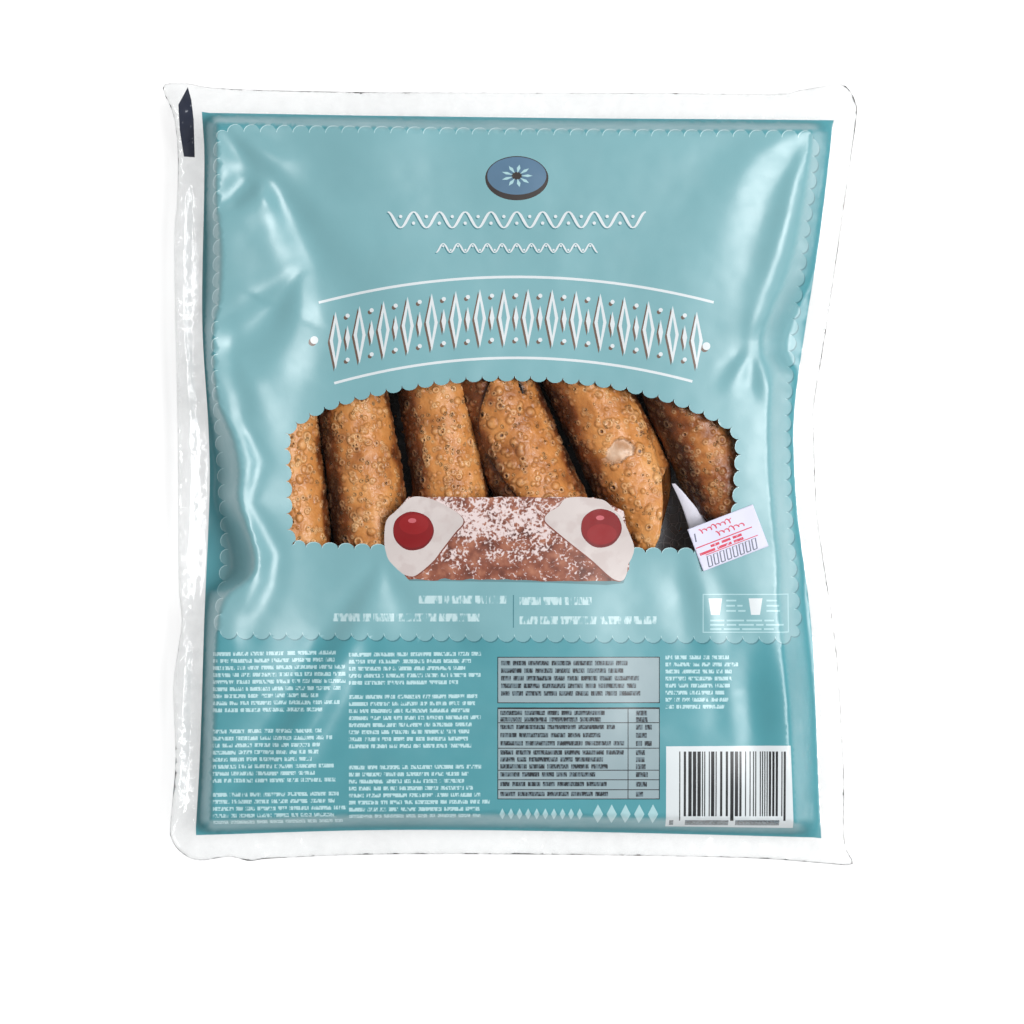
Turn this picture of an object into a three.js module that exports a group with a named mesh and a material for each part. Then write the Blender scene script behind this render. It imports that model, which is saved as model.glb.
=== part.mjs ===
// A flat pillow pack of cannoli shells: one closed film bag with a sealed flange all round, and a
// small price label stuck on its upper face. Millimetres, +Z up. The pack lies on its back, with
// its printed face up, its head towards +Y and its underside flat on z = 0.
import * as THREE from "three";
import { mergeVertices } from "three/addons/utils/BufferGeometryUtils.js";

// ---- driving dimensions ----
const CROWN_HEIGHT = 27.6;          // upper film over the middle of the shells
const CROWN_FALL = 1.6;             // how much lower the film lies at the ends of the rows
const FLANGE_HEIGHT = 9;            // middle of the sealed flange above the floor
const FLANGE_THICKNESS = 1.2;
const FLANGE_WAVE = 0.9;            // how far the limp flange lifts and droops
const FLANGE_WAVE_LENGTH = 74;
const SIDE_RAMP = { left: 17, right: 13, top: 17, bottom: 24 };   // film run from seal to full height
const BELLY_RAMP = 13;              // run of the lower film from seal to the flat underside
const ROW_PITCH = 60;               // shell rows lie head to head, 60 mm apart
const ROW_JOIN_Y = 36;              // where the head row meets the middle row
const ROW_SAG = 0.9;                // the film dips where two rows meet
const ROW_SAG_REACH = 9;

// Seal lines: the inner edge of the flange, as [place along the side, place across it].
const SEAL_LEFT = [[-106, -92.2], [-84, -91], [-43, -89.6], [-5, -88.1], [13, -88.4], [45, -90.2],
  [93, -89.6], [106, -90.3]];
const SEAL_RIGHT = [[-107, 91.3], [-90, 90.4], [-52, 88.9], [-37, 87.6], [-11, 84.2], [10, 83.1],
  [22, 83.7], [41, 86.4], [66, 90.3], [92, 93.5], [104, 94.8]];
const SEAL_BOTTOM = [[-92, -106], [-32, -104.5], [32, -105.3], [91, -106.8]];
const SEAL_TOP = [[-90, 105.7], [-3, 104.4], [95, 103.6]];

// Outer edge of the flange, each side from one corner of the pack to the next.
const EDGE_LEFT = [[-96.6, -110.8], [-99.6, -103.1], [-98, -84], [-98.8, -63.5], [-96.2, -43],
  [-97.4, 9.8], [-98.5, 65.5], [-97.4, 94.9], [-101.5, 113.9]];
const EDGE_RIGHT = [[100.4, -114.7], [97.9, -107.5], [97.9, -88.4], [96, -54.7], [90, -10.7],
  [89.1, 12.8], [92.5, 40.6], [99.9, 91.9], [101.6, 106.4], [99.7, 112.3]];
const EDGE_BOTTOM = [[-96.6, -110.8], [-91.5, -113.4], [-76.2, -113.6], [-32.3, -111.6],
  [32.3, -112], [70.4, -112.8], [90.6, -114.2], [100.4, -114.7]];
const EDGE_TOP = [[-101.5, 113.9], [-93.8, 114.2], [-80.6, 112.6], [-32.3, 111.7], [32.3, 111.6],
  [76.2, 111.3], [85, 112.4], [96.2, 114.2], [99.7, 112.3]];

// Long creases of the upper film: a crest from one point to another, its rise, and how far its
// flanks reach at the start and at the end.
const FOLDS = [
  { from: [-71, 88.5], to: [-48, 54], rise: 1.1, reach: [6, 17] },
  { from: [-63, 56], to: [-81.5, 33], rise: 1.0, reach: [7, 12] },
  { from: [-81, 32], to: [-73.5, 1], rise: 1.3, reach: [5, 11] },
  { from: [-73.5, 1], to: [-74, -36], rise: 1.6, reach: [11, 9] },
  { from: [88, 98.5], to: [62, 57], rise: 1.3, reach: [5, 18] },
  { from: [86, 93], to: [69, 38], rise: 1.4, reach: [4, 12] },
  { from: [-37, -29], to: [-34.5, -58], rise: 0.9, reach: [4, 14] },
  { from: [64, -54], to: [75, -80], rise: 1.0, reach: [6, 13] },
];
const CREST_ROUNDING = 1.2;

// Price label, turned on the film near the right end of the window.
const LABEL_WIDTH = 20.4;
const LABEL_HEIGHT = 13;
const LABEL_CENTRE = [63.4, -18.8];
const LABEL_TURN = THREE.MathUtils.degToRad(21);
const LABEL_THICKNESS = 0.5;
const LABEL_GAP = 0.35;             // air between the film and the label's underside

const PACK_CELLS = [46, 50];
const LABEL_CELLS = [10, 6];

// ---- shared curves ----

/** Smooth height of a line through stations [s, value], sorted by s, at place s. */
function through(stations, s) {
  const last = stations.length - 1;
  const at = THREE.MathUtils.clamp(s, stations[0][0], stations[last][0]);
  let i = 0;
  while (i < last - 1 && at > stations[i + 1][0]) i += 1;
  const slope = (k) => {
    const [s0, v0] = stations[Math.max(k - 1, 0)];
    const [s1, v1] = stations[Math.min(k + 1, last)];
    return (v1 - v0) / (s1 - s0);
  };
  const [s0, v0] = stations[i];
  const [s1, v1] = stations[i + 1];
  const run = s1 - s0;
  const t = (at - s0) / run;
  const lean0 = slope(i) * run;
  const lean1 = slope(i + 1) * run;
  return v0 + lean0 * t + (3 * (v1 - v0) - 2 * lean0 - lean1) * t * t
    + (2 * (v0 - v1) + lean0 + lean1) * t * t * t;
}

/** How far a point lies inside each seal line. */
function insideSeals(x, y) {
  return {
    left: x - through(SEAL_LEFT, y),
    right: through(SEAL_RIGHT, y) - x,
    bottom: y - through(SEAL_BOTTOM, x),
    top: through(SEAL_TOP, x) - y,
  };
}

/** 0 at the seal, 1 once the film has reached its full height. */
function climb(distance, run) {
  return Math.sin(THREE.MathUtils.clamp(distance / run, 0, 1) * Math.PI / 2);
}

function flangeMiddle(x, y) {
  const around = (x * 0.6 + y) * 2 * Math.PI / FLANGE_WAVE_LENGTH;
  return FLANGE_HEIGHT + FLANGE_WAVE * Math.sin(around) * Math.cos(x * Math.PI / FLANGE_WAVE_LENGTH);
}

/** Rise of one crease above the film around it. */
function foldRise(fold, x, y) {
  const [x0, y0] = fold.from;
  const [x1, y1] = fold.to;
  const length = Math.hypot(x1 - x0, y1 - y0);
  const along = ((x - x0) * (x1 - x0) + (y - y0) * (y1 - y0)) / (length * length);
  const across = ((x - x0) * (y1 - y0) - (y - y0) * (x1 - x0)) / length;
  const t = THREE.MathUtils.clamp(along, 0, 1);
  const beyond = (along - t) * length;
  const reach = THREE.MathUtils.lerp(fold.reach[0], fold.reach[1], t);
  const off = Math.hypot(across, beyond, CREST_ROUNDING) - CREST_ROUNDING;
  const fade = THREE.MathUtils.clamp(1 - off / reach, 0, 1);
  return fold.rise * fade * fade;
}

function rowSag(y) {
  const toJoin = [ROW_JOIN_Y, ROW_JOIN_Y - ROW_PITCH].map((join) => Math.abs(y - join));
  const near = Math.min(...toJoin) / ROW_SAG_REACH;
  return ROW_SAG * Math.exp(-near * near);
}

function filmTop(x, y) {
  const inside = insideSeals(x, y);
  const lift = Object.entries(SIDE_RAMP)
    .map(([side, run]) => climb(inside[side], run))
    .reduce((product, part) => product * part, 1);
  const crown = CROWN_HEIGHT - CROWN_FALL * ((x / 95) ** 2 + (y / 110) ** 2) / 2;
  const relief = FOLDS.reduce((sum, fold) => sum + foldRise(fold, x, y), -rowSag(y));
  const base = flangeMiddle(x, y) + FLANGE_THICKNESS / 2;
  return base + (crown + relief - base) * lift;
}

function filmBottom(x, y) {
  const lift = Object.values(insideSeals(x, y))
    .map((distance) => climb(distance, BELLY_RAMP))
    .reduce((product, part) => product * part, 1);
  return (flangeMiddle(x, y) - FLANGE_THICKNESS / 2) * (1 - lift);
}

// ---- solids ----

/** A closed box of cells whose corners are moved to place(u, v, isTop), u and v from 0 to 1. */
function drapedSolid([across, up], place) {
  const box = new THREE.BoxGeometry(1, 1, 1, across, up, 1);
  box.deleteAttribute("normal");
  box.deleteAttribute("uv");
  const solid = mergeVertices(box, 1e-4);
  const corners = solid.attributes.position;
  const target = new THREE.Vector3();
  for (let i = 0; i < corners.count; i += 1) {
    place(corners.getX(i) + 0.5, corners.getY(i) + 0.5, corners.getZ(i) > 0, target);
    corners.setXYZ(i, target.x, target.y, target.z);
  }
  solid.computeVertexNormals();
  return solid;
}

function sideCurve(points) {
  return new THREE.SplineCurve(points.map(([x, y]) => new THREE.Vector2(x, y)));
}

/** Places u, v inside the pack's outer edge, as a patch blended from its four sides. */
function outlinePatch() {
  const [left, right, bottom, top] = [EDGE_LEFT, EDGE_RIGHT, EDGE_BOTTOM, EDGE_TOP].map(sideCurve);
  const corners = [bottom.getPoint(0), bottom.getPoint(1), top.getPoint(0), top.getPoint(1)];
  return (u, v) => {
    const [bl, br, tl, tr] = corners;
    const [l, r, b, t] = [left.getPointAt(v), right.getPointAt(v), bottom.getPointAt(u), top.getPointAt(u)];
    const blend = (axis) => (1 - v) * b[axis] + v * t[axis] + (1 - u) * l[axis] + u * r[axis]
      - (1 - u) * (1 - v) * bl[axis] - u * (1 - v) * br[axis] - (1 - u) * v * tl[axis] - u * v * tr[axis];
    return [blend("x"), blend("y")];
  };
}

/** Crowds the cells towards both ends, where the film climbs from the flange. */
function crowdEnds(t) {
  const eased = 0.5 - 0.5 * Math.cos(Math.PI * t);
  return THREE.MathUtils.lerp(t, eased, 0.45);
}

function packSolid() {
  const patch = outlinePatch();
  return drapedSolid(PACK_CELLS, (u, v, isTop, target) => {
    const [x, y] = patch(crowdEnds(u), crowdEnds(v));
    target.set(x, y, isTop ? filmTop(x, y) : filmBottom(x, y));
  });
}

function labelSolid() {
  const [centreX, centreY] = LABEL_CENTRE;
  return drapedSolid(LABEL_CELLS, (u, v, isTop, target) => {
    const across = (u - 0.5) * LABEL_WIDTH;
    const up = (v - 0.5) * LABEL_HEIGHT;
    const x = centreX + across * Math.cos(LABEL_TURN) - up * Math.sin(LABEL_TURN);
    const y = centreY + across * Math.sin(LABEL_TURN) + up * Math.cos(LABEL_TURN);
    target.set(x, y, filmTop(x, y) + LABEL_GAP + (isTop ? LABEL_THICKNESS : 0));
  });
}

function named(name, geometry, material) {
  const mesh = new THREE.Mesh(geometry, material);
  mesh.name = name;
  return mesh;
}

const filmMaterial = new THREE.MeshStandardMaterial({ color: 0x84c4cb, roughness: 0.3, metalness: 0 });
const labelMaterial = new THREE.MeshStandardMaterial({ color: 0xf0eef4, roughness: 0.6, metalness: 0 });

const pack = new THREE.Group();
pack.add(named("pack_bag", packSolid(), filmMaterial));
pack.add(named("price_label", labelSolid(), labelMaterial));

export default pack;
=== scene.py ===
"""Dress a sealed film pack of cannoli shells: film, print, pastry, tray, label and crumbs.

Shapes are worked out in millimetres and turned into metres when a mesh is made. The pack lies on
its back with its head towards +Y, its printed face up and its underside on z = 0.
"""

from __future__ import annotations

import logging
import math
from dataclasses import dataclass, field
from enum import Enum
from typing import Callable, Iterable, Sequence

import bpy
import numpy as np
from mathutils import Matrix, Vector, kdtree
from mathutils.geometry import delaunay_2d_cdt

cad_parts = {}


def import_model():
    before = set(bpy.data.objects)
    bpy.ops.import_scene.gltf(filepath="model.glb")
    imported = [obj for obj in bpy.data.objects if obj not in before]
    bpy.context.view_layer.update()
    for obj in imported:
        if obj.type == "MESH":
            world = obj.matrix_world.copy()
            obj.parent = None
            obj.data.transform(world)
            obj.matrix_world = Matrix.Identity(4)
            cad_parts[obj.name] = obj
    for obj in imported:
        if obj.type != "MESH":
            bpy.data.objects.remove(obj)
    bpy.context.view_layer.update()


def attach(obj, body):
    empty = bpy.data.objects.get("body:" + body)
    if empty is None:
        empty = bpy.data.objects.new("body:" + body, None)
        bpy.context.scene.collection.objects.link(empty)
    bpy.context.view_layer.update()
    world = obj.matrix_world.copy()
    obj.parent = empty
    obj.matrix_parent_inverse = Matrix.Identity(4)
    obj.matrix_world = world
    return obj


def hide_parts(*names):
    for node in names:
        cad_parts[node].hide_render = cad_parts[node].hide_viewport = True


LOG = logging.getLogger("pack")
MM = 0.001

Array = np.ndarray
Point = tuple[float, float]
Stations = tuple[Point, ...]
Shade = tuple[int, int, int]
Drape = Callable[[Array, Array], Array]
Inputs = dict[str | int, object]
Piece = bpy.types.Object
Material = bpy.types.Material


# ---------------------------------------------------------------- curves and noise


def through(stations: Sequence[Point], place: Array) -> Array:
    """Value at each place of a smooth line through sorted stations, held level past both ends."""
    spots, values = np.array(stations, dtype=float).T
    at = np.clip(place, spots[0], spots[-1])
    i = np.clip(np.searchsorted(spots, at, side="left") - 1, 0, len(spots) - 2)
    before = np.maximum(np.arange(len(spots)) - 1, 0)
    after = np.minimum(np.arange(len(spots)) + 1, len(spots) - 1)
    slopes = (values[after] - values[before]) / (spots[after] - spots[before])
    run, rise = spots[i + 1] - spots[i], values[i + 1] - values[i]
    t = (at - spots[i]) / run
    lean0, lean1 = slopes[i] * run, slopes[i + 1] * run
    return values[i] + lean0 * t + (3 * rise - 2 * lean0 - lean1) * t**2 + (lean0 + lean1 - 2 * rise) * t**3


def smooth_step(low: float, high: float, value: Array) -> Array:
    """Ease from 0 at low to 1 at high."""
    t = np.clip((value - low) / (high - low), 0.0, 1.0)
    return t * t * (3 - 2 * t)


def points_of(table: Array) -> list[Point]:
    """Plain points from rows of two numbers."""
    return [tuple(map(float, row)) for row in table]


def rounded_path(points: Sequence[Point], steps: int = 6) -> list[Point]:
    """Round a closed chain of points, each of its stretches cut into steps."""
    chain = np.array(points, dtype=float)
    curve = []
    for i in range(len(points)):
        p0, p1, p2, p3 = chain[[k % len(points) for k in (i - 1, i, i + 1, i + 2)]]
        for t in (step / steps for step in range(steps)):
            bent = 2 * p1 + (p2 - p0) * t + (2 * p0 - 5 * p1 + 4 * p2 - p3) * t**2
            curve.append(0.5 * (bent + (3 * p1 - p0 - 3 * p2 + p3) * t**3))
    return points_of(curve)


def evenly(points: Sequence[Point], step: float) -> list[Point]:
    """Points about a step apart round a closed chain."""
    chain = np.array([*points, points[0]], dtype=float)
    along = np.concatenate([[0.0], np.cumsum(np.hypot(*np.diff(chain, axis=0).T))])
    marks = np.linspace(0.0, along[-1], max(2, round(along[-1] / step)) + 1)
    return points_of(np.column_stack([np.interp(marks, along, chain[:, k]) for k in (0, 1)])[:-1])


def oval(centre: Point, radii: Point, sides: int = 32, wobble: float = 0.0) -> list[Point]:
    """Points round an oval, its radius optionally uneven by a share of itself."""
    turns = np.linspace(0.0, 2 * math.pi, sides, endpoint=False)
    uneven = 1 + wobble * (np.sin(3 * turns + 0.7) + 0.6 * np.sin(7 * turns + 2.1))
    return [
        (centre[0] + radii[0] * u * math.cos(a), centre[1] + radii[1] * u * math.sin(a))
        for a, u in zip(turns, uneven)
    ]


def rectangle(left: float, bottom: float, right: float, top: float) -> list[Point]:
    """Corners of an upright rectangle."""
    return [(left, bottom), (right, bottom), (right, top), (left, top)]


def lozenge(x: float, y: float, wide: float, tall: float) -> list[Point]:
    """Corners of an upright lozenge, from its half sizes."""
    return [(x - wide, y), (x, y - tall), (x + wide, y), (x, y + tall)]


def moved(points: Iterable[Point], by: Point) -> list[Point]:
    """The same points, moved."""
    return [(x + by[0], y + by[1]) for x, y in points]


def band(path: Sequence[Point], widths: Sequence[float]) -> list[Point]:
    """Closed outline of a band along a path, from its width at each point."""
    line = np.array(path, dtype=float)
    ways = np.gradient(line, axis=0)
    ways /= np.linalg.norm(ways, axis=1)[:, None]
    sides = np.column_stack([-ways[:, 1], ways[:, 0]]) * np.array(widths)[:, None] / 2
    return points_of((*(line + sides), *(line - sides)[::-1]))


class Noise:
    """Smooth seeded noise over a plane, from -1 to 1."""

    def __init__(self, seed: int, size: int = 64) -> None:
        """Fill the lattice that the noise is read from."""
        self.size = size
        self.lattice = np.random.default_rng(seed).uniform(-1.0, 1.0, (size, size))

    def at(self, x: Array, y: Array) -> Array:
        """Noise with features one unit across."""
        x0, y0 = np.floor(x).astype(int), np.floor(y).astype(int)
        tx, ty = x - x0, y - y0
        sx, sy = tx * tx * (3 - 2 * tx), ty * ty * (3 - 2 * ty)
        x0, y0 = x0 % self.size, y0 % self.size
        x1, y1 = (x0 + 1) % self.size, (y0 + 1) % self.size
        low, high = (self.lattice[x0, y] * (1 - sx) + self.lattice[x1, y] * sx for y in (y0, y1))
        return low * (1 - sy) + high * sy

    def layered(self, x: Array, y: Array, layers: int = 3) -> Array:
        """Noise with finer and fainter layers added."""
        total = sum(self.at(x * 2.03**k + 7.3 * k, y * 2.03**k - 3.1 * k) * 0.5**k for k in range(layers))
        return total / sum(0.5**k for k in range(layers))


def uneven(noise: Noise, relief: Point, x: Array, y: Array) -> Array:
    """Height of a noise from the relief's height and size."""
    return relief[0] * noise.layered(x / relief[1], y / relief[1])


# ---------------------------------------------------------------- meshes


def plain_mesh(
    name: str,
    places: Array,
    faces: Sequence[Sequence[int]],
    finishes: Sequence[Material],
    slots: Sequence[int] | None = None,
) -> Piece:
    """Make a smooth mesh at the origin from corners in millimetres, each face in its material slot."""
    mesh = bpy.data.meshes.new(name)
    mesh.from_pydata((np.asarray(places) * MM).tolist(), [], faces)
    for finish in finishes:
        mesh.materials.append(finish)
    if slots is not None:
        mesh.polygons.foreach_set("material_index", np.asarray(slots, dtype=np.int32))
    mesh.polygons.foreach_set("use_smooth", np.ones(len(mesh.polygons), dtype=bool))
    mesh.update()
    piece = bpy.data.objects.new(name, mesh)
    bpy.context.scene.collection.objects.link(piece)
    return piece


def closed_skin(upper: Array, lower: Array) -> tuple[Array, list[list[int]]]:
    """Join two grids of corners into one closed wall whose faces look out of it."""
    rows, columns = upper.shape[:2]
    count = rows * columns
    places = np.concatenate([upper.reshape(-1, 3), lower.reshape(-1, 3)])
    starts = [i * columns + j for i in range(rows - 1) for j in range(columns - 1)]
    quads = [[a, a + 1, a + columns + 1, a + columns] for a in starts]
    faces = quads + [[a + count for a in quad[::-1]] for quad in quads]
    last = count - columns
    border = [
        *range(columns),
        *(i * columns - 1 for i in range(2, rows + 1)),
        *range(count - 2, last - 1, -1),
        *range(last - columns, 0, -columns),
    ]
    faces += [[b, a, a + count, b + count] for a, b in zip(border, border[1:] + border[:1])]
    return places, faces


def store_shades(piece: Piece, name: str, values: Array) -> None:
    """Keep a colour for each corner of a piece, for its material to read."""
    layer = piece.data.color_attributes.new(name, "FLOAT_COLOR", "POINT")
    layer.data.foreach_set("color", np.asarray(values, dtype=np.float32).ravel())


def applied(piece: Piece) -> Piece:
    """Turn a piece's modifiers into plain mesh."""
    mesh = bpy.data.meshes.new_from_object(piece.evaluated_get(bpy.context.evaluated_depsgraph_get()))
    old = piece.data
    piece.modifiers.clear()
    piece.data = mesh
    mesh.name = old.name
    bpy.data.meshes.remove(old)
    return piece


# ---------------------------------------------------------------- the film's shape


def facet_lift(path: Sequence[tuple[float, ...]], x: Array, y: Array) -> Array:
    """Height added by a band that leans over to the left of its path.

    The path's knots are a point, the band's slope there and half its width.
    """
    line = np.array(path, dtype=float)
    nearest, height = np.full_like(x, 1e6), np.zeros_like(x)
    for i, (start, end) in enumerate(zip(line, line[1:])):
        step = end[:2] - start[:2]
        length = math.hypot(*step)
        dx, dy = x - start[0], y - start[1]
        along = (dx * step[0] + dy * step[1]) / length**2
        across = (dx * step[1] - dy * step[0]) / length
        t = np.clip(along, 0.0, 1.0)
        beyond = (along - t) * length
        off = np.hypot(across, beyond)
        at_end = ((i == 0) & (along < 0)) | ((i == len(line) - 2) & (along > 1))
        reach = start[3] + (end[3] - start[3]) * t
        slope = start[2] + (end[2] - start[2]) * t
        slope = slope * np.where(at_end, np.exp(-((beyond / (1.2 * reach)) ** 2)), 1.0)
        side = np.where(at_end, across, np.sign(across) * off) / reach
        height = np.where(off < nearest, slope * reach * side * np.exp(-(side**2) / 2), height)
        nearest = np.minimum(off, nearest)
    return height


@dataclass(frozen=True)
class FilmShape:
    """Heights of the bag's upper and lower film.

    Sides come as left, right, bottom, top. The film climbs in a steep front up to its shoulder and
    a soft share of its height only beyond that. The broad and fine unevenness of the film, and the
    flange's, come as a height and a size; the pinch is where a roll of film along the left flange
    lies flat, and for how far.
    """

    crown_height: float = 27.6
    crown_fall: float = 1.6
    headroom: float = 1.4
    flange_height: float = 9.0
    flange_wave: float = 0.9
    flange_wave_length: float = 74.0
    film_thickness: float = 0.3
    rib_height: float = 0.16
    rib_pitch: float = 2.3
    roll_height: float = 1.5
    roll_radius: float = 2.1
    roll_outside: float = 5.9
    pinch: Point = (-44.0, 6.0)
    broad_unevenness: Point = (0.22, 17.0)
    fine_unevenness: Point = (0.03, 4.5)
    flange_unevenness: Point = (0.34, 2.6)
    steepest_run: float = 8.5
    ramps: tuple[float, ...] = (17.0, 13.0, 24.0, 17.0)
    softness: tuple[float, ...] = (0.03, 0.12, 0.14, 0.10)
    belly_ramp: float = 13.0
    row_joins: Point = (36.0, -24.0)
    row_sag: float = 0.9
    row_sag_reach: float = 9.0
    shoulders: tuple[Stations, ...] = (
        (
            (-112, 5), (-58, 4.5), (-43, 5), (-36, 7), (-30, 14), (-26, 15), (-19, 13.5), (-8, 9.5),
            (1, 9.5), (10, 8), (21, 4), (42, 4), (51, 6), (68, 6), (80, 4.5), (112, 5),
        ),
        (
            (-112, 8), (-70, 8.5), (-49, 9.5), (-37, 9.5), (-25, 8), (1, 7.7), (22, 8), (29, 8.8),
            (37, 12.8), (45, 12), (57, 9), (68, 7.4), (92, 6.5), (112, 7),
        ),
        ((-95, 5), (-40, 5.5), (20, 5.5), (95, 5)),
        ((-95, 4), (-30, 4.6), (40, 4.6), (95, 4)),
    )  # fmt: skip
    seals: tuple[Stations, ...] = (
        (
            (-106, -92.2), (-84, -91), (-43, -89.6), (-5, -88.1), (13, -88.4), (45, -90.2), (93, -89.6),
            (106, -90.3),
        ),
        (
            (-107, 91.3), (-90, 90.4), (-52, 88.9), (-37, 87.6), (-11, 84.2), (10, 83.1), (22, 83.7),
            (41, 86.4), (66, 90.3), (92, 93.5), (104, 94.8),
        ),
        ((-92, -106), (-32, -104.5), (32, -105.3), (91, -106.8)),
        ((-90, 105.7), (-3, 104.4), (95, 103.6)),
    )  # fmt: skip
    facets: tuple[tuple[tuple[float, ...], ...], ...] = (
        # broad ones
        ((-72.1, 98.3, 0.17, 16), (-71.2, 27.1, 0.18, 17), (-70.3, -42.7, 0.22, 16)),
        ((-30, 102, 0.16, 15), (-28, 78, 0.08, 15)),
        ((67.5, 102.7, 0.05, 14), (63.4, 41.6, 0.06, 18), (65.4, -48.5, 0.05, 16)),
        ((28, -22, 0.05, 18), (30, -38, 0.14, 20), (32, -56, 0.1, 20)),
        # from the head left corner
        ((-83.7, 94.5, 0.28, 4.37), (-81.7, 86.7, 0.28, 4.37), (-82.5, 79.4, 0.2, 4.02)),
        ((-83.7, 101.5, -0.14, 1.72), (-77.6, 95.1, -0.39, 2.3), (-69.7, 87.5, -0.14, 4.02)),
        ((-78.5, 98.6, 0.13, 2.3), (-68.3, 93.9, 0.2, 2.99), (-57.5, 91.6, 0, 3.33)),
        (
            (-70.3, 86.4, -0.14, 2.03), (-74.4, 82.3, -0.61, 3.51), (-79.6, 77.7, -0.61, 3.51),
            (-86, 74.7, -0.32, 3.1),
        ),
        (
            (-72.1, 85.8, 0.1, 1.95), (-68.3, 79.4, 0.32, 2.99), (-64.5, 69.2, 0.28, 4.71),
            (-59.3, 58.5, 0.27, 5.63), (-52.3, 46, 0.1, 7.36),
        ),
        ((-68, 87, -0.1, 2.3), (-59.3, 75, -0.17, 5.4), (-47.9, 54.7, -0.04, 8.74)),
        ((-61, 57.3, -0.2, 1.38), (-65.1, 46.8, -0.41, 4.37), (-72.1, 35.8, -0.28, 7.36)),
        ((-63.4, 58.5, 0.08, 1.95), (-72.1, 50.3, 0.17, 4.02), (-82.5, 42.8, 0.14, 4.37)),
        ((-80.8, 32, -0.14, 0.8), (-69.7, 35.2, -0.08, 1.03)),
        # along the left side
        (
            (-83.1, 46.8, 0.07, 2.3), (-83.7, 37.2, 0.19, 2.64), (-82.8, 25.6, 0.19, 2.64),
            (-80.2, 16.6, 0.2, 2.3),
        ),
        ((-79.6, 31.1, -0.07, 1.95), (-76.1, 23.6, -0.17, 2.64), (-72.1, 13.1, -0.07, 4.02)),
        (
            (-79.9, 15.4, 0.12, 1.72), (-76.7, 9.6, 0.43, 1.95), (-74.7, 3.2, 0.43, 2.53),
            (-76.4, -4.3, 0.37, 1.95), (-76.7, -9, 0.26, 1.49), (-73.8, -16, 0.37, 2.53),
            (-70.6, -24.1, 0.43, 2.99), (-71.5, -31.6, 0.41, 2.99), (-75, -38, 0.32, 3.6),
            (-78.5, -44.4, 0.18, 3.6),
        ),
        ((-82.5, 5.3, -0.14, 1.95), (-80.8, -2, -0.36, 2.64), (-82, -7.8, -0.17, 2.3)),
        ((-80.8, -13.6, -0.14, 2.64), (-76.7, -24.1, -0.31, 2.64), (-78.5, -31.1, -0.08, 2.3)),
        ((-83.1, -34.6, 0.12, 3.33), (-82, -42.1, 0.19, 4.02), (-79.6, -50, 0.07, 4.02)),
        # from the head right corner
        (
            (86.1, 98, 0.12, 2.0), (80.3, 94.5, 0.2, 3.2), (75, 89.3, 0.15, 4.6), (70.4, 80.6, 0.08, 5.4),
            (66.9, 69.2, 0.03, 6.2), (64.3, 54.7, 0.02, 6.6),
        ),
        (
            (74.1, 101.2, -0.06, 2.99), (64.8, 91, -0.12, 5.33), (55.8, 77.9, -0.08, 8.32),
            (47.1, 61.4, -0.02, 9.88),
        ),
        ((84.3, 91, -0.06, 1.17), (78.2, 80, -0.12, 2.99), (74.4, 66.6, -0.08, 3.77), (71.2, 52.7, 0, 3.77)),
        (
            (85.8, 93.4, 0.14, 0.91), (84.6, 85.2, 0.37, 1.95), (83.2, 75, 0.41, 2.47),
            (80.5, 63.4, 0.41, 2.99), (76.2, 51.8, 0.37, 2.99), (72.4, 42.2, 0.31, 2.21),
            (70.7, 37.2, 0.14, 1.56),
        ),
        ((70.4, 38.1, -0.07, 1.17), (67.5, 33.5, -0.41, 1.69), (63.4, 27.4, -0.14, 2.21)),
        ((70.7, 37.8, 0.06, 1.17), (67.8, 32.3, 0.23, 1.95), (66.3, 24.7, 0.08, 2.6)),
        ((71.5, 37, 0.07, 0.91), (73.6, 32.3, 0.43, 1.17), (75.9, 25.9, 0.17, 1.3)),
        ((71.8, 32.3, -0.07, 1.17), (72.1, 25.6, -0.29, 1.95), (73.3, 20.1, -0.06, 2.21)),
        # round the emblem and the window
        ((-7, 95.1, -0.08, 1.7), (-8.1, 91.6, -0.03, 2.3)),
        ((2.9, 45.1, 0.03, 2.9), (-8.7, 30, 0.08, 4.1)),
        (
            (-36.9, -27, 0.07, 0.9), (-36, -32.5, 0.21, 2.3), (-34.3, -40.4, 0.21, 4.4),
            (-31.4, -51.4, 0.05, 5.8),
        ),
        (
            (-39.2, -27.6, -0.12, 1.32), (-43.6, -36.3, -0.34, 2.86), (-50.6, -48.5, -0.48, 4.18),
            (-58.7, -63, -0.52, 4.84), (-67.4, -79, -0.48, 4.84), (-77, -95, -0.28, 4.51),
        ),
        ((-41.8, -48.5, 0.07, 2.3), (-50, -63, 0.22, 4.4), (-59.6, -79, 0.2, 4.7), (-69.7, -96.5, 0.06, 4.1)),
        ((-23.2, -36.9, -0.03, 3.5), (-11.6, -45.6, -0.13, 4.7), (1.5, -55.8, -0.03, 5.2)),
        ((43.6, -27, 0.05, 4.1), (45.9, -36.9, 0.09, 4.7), (49.4, -48.5, 0.03, 4.7)),
        ((50.9, -25.3, -0.08, 2.3), (53.2, -35.4, -0.16, 3.2), (55.8, -48.5, -0.08, 3.5)),
        ((57, -29.6, 0.07, 2.9), (59.9, -38.6, 0.16, 3.8), (62.8, -51.4, 0.05, 4.1)),
        ((59.9, -55.8, -0.03, 1.7), (62.2, -66, -0.14, 3.2), (64.6, -81.1, -0.04, 3.5)),
        ((74, -48.5, -0.12, 3), (75, -63, -0.36, 5.5), (76, -79, -0.3, 5.5), (77, -95, -0.12, 5)),
        ((29.1, -83.4, 0, 4.1), (40.7, -71.8, 0.1, 5.2), (52.3, -66, 0.03, 5.2)),
    )  # fmt: skip
    ripple: Noise = field(default_factory=lambda: Noise(11))
    crinkle: Noise = field(default_factory=lambda: Noise(23))

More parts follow.
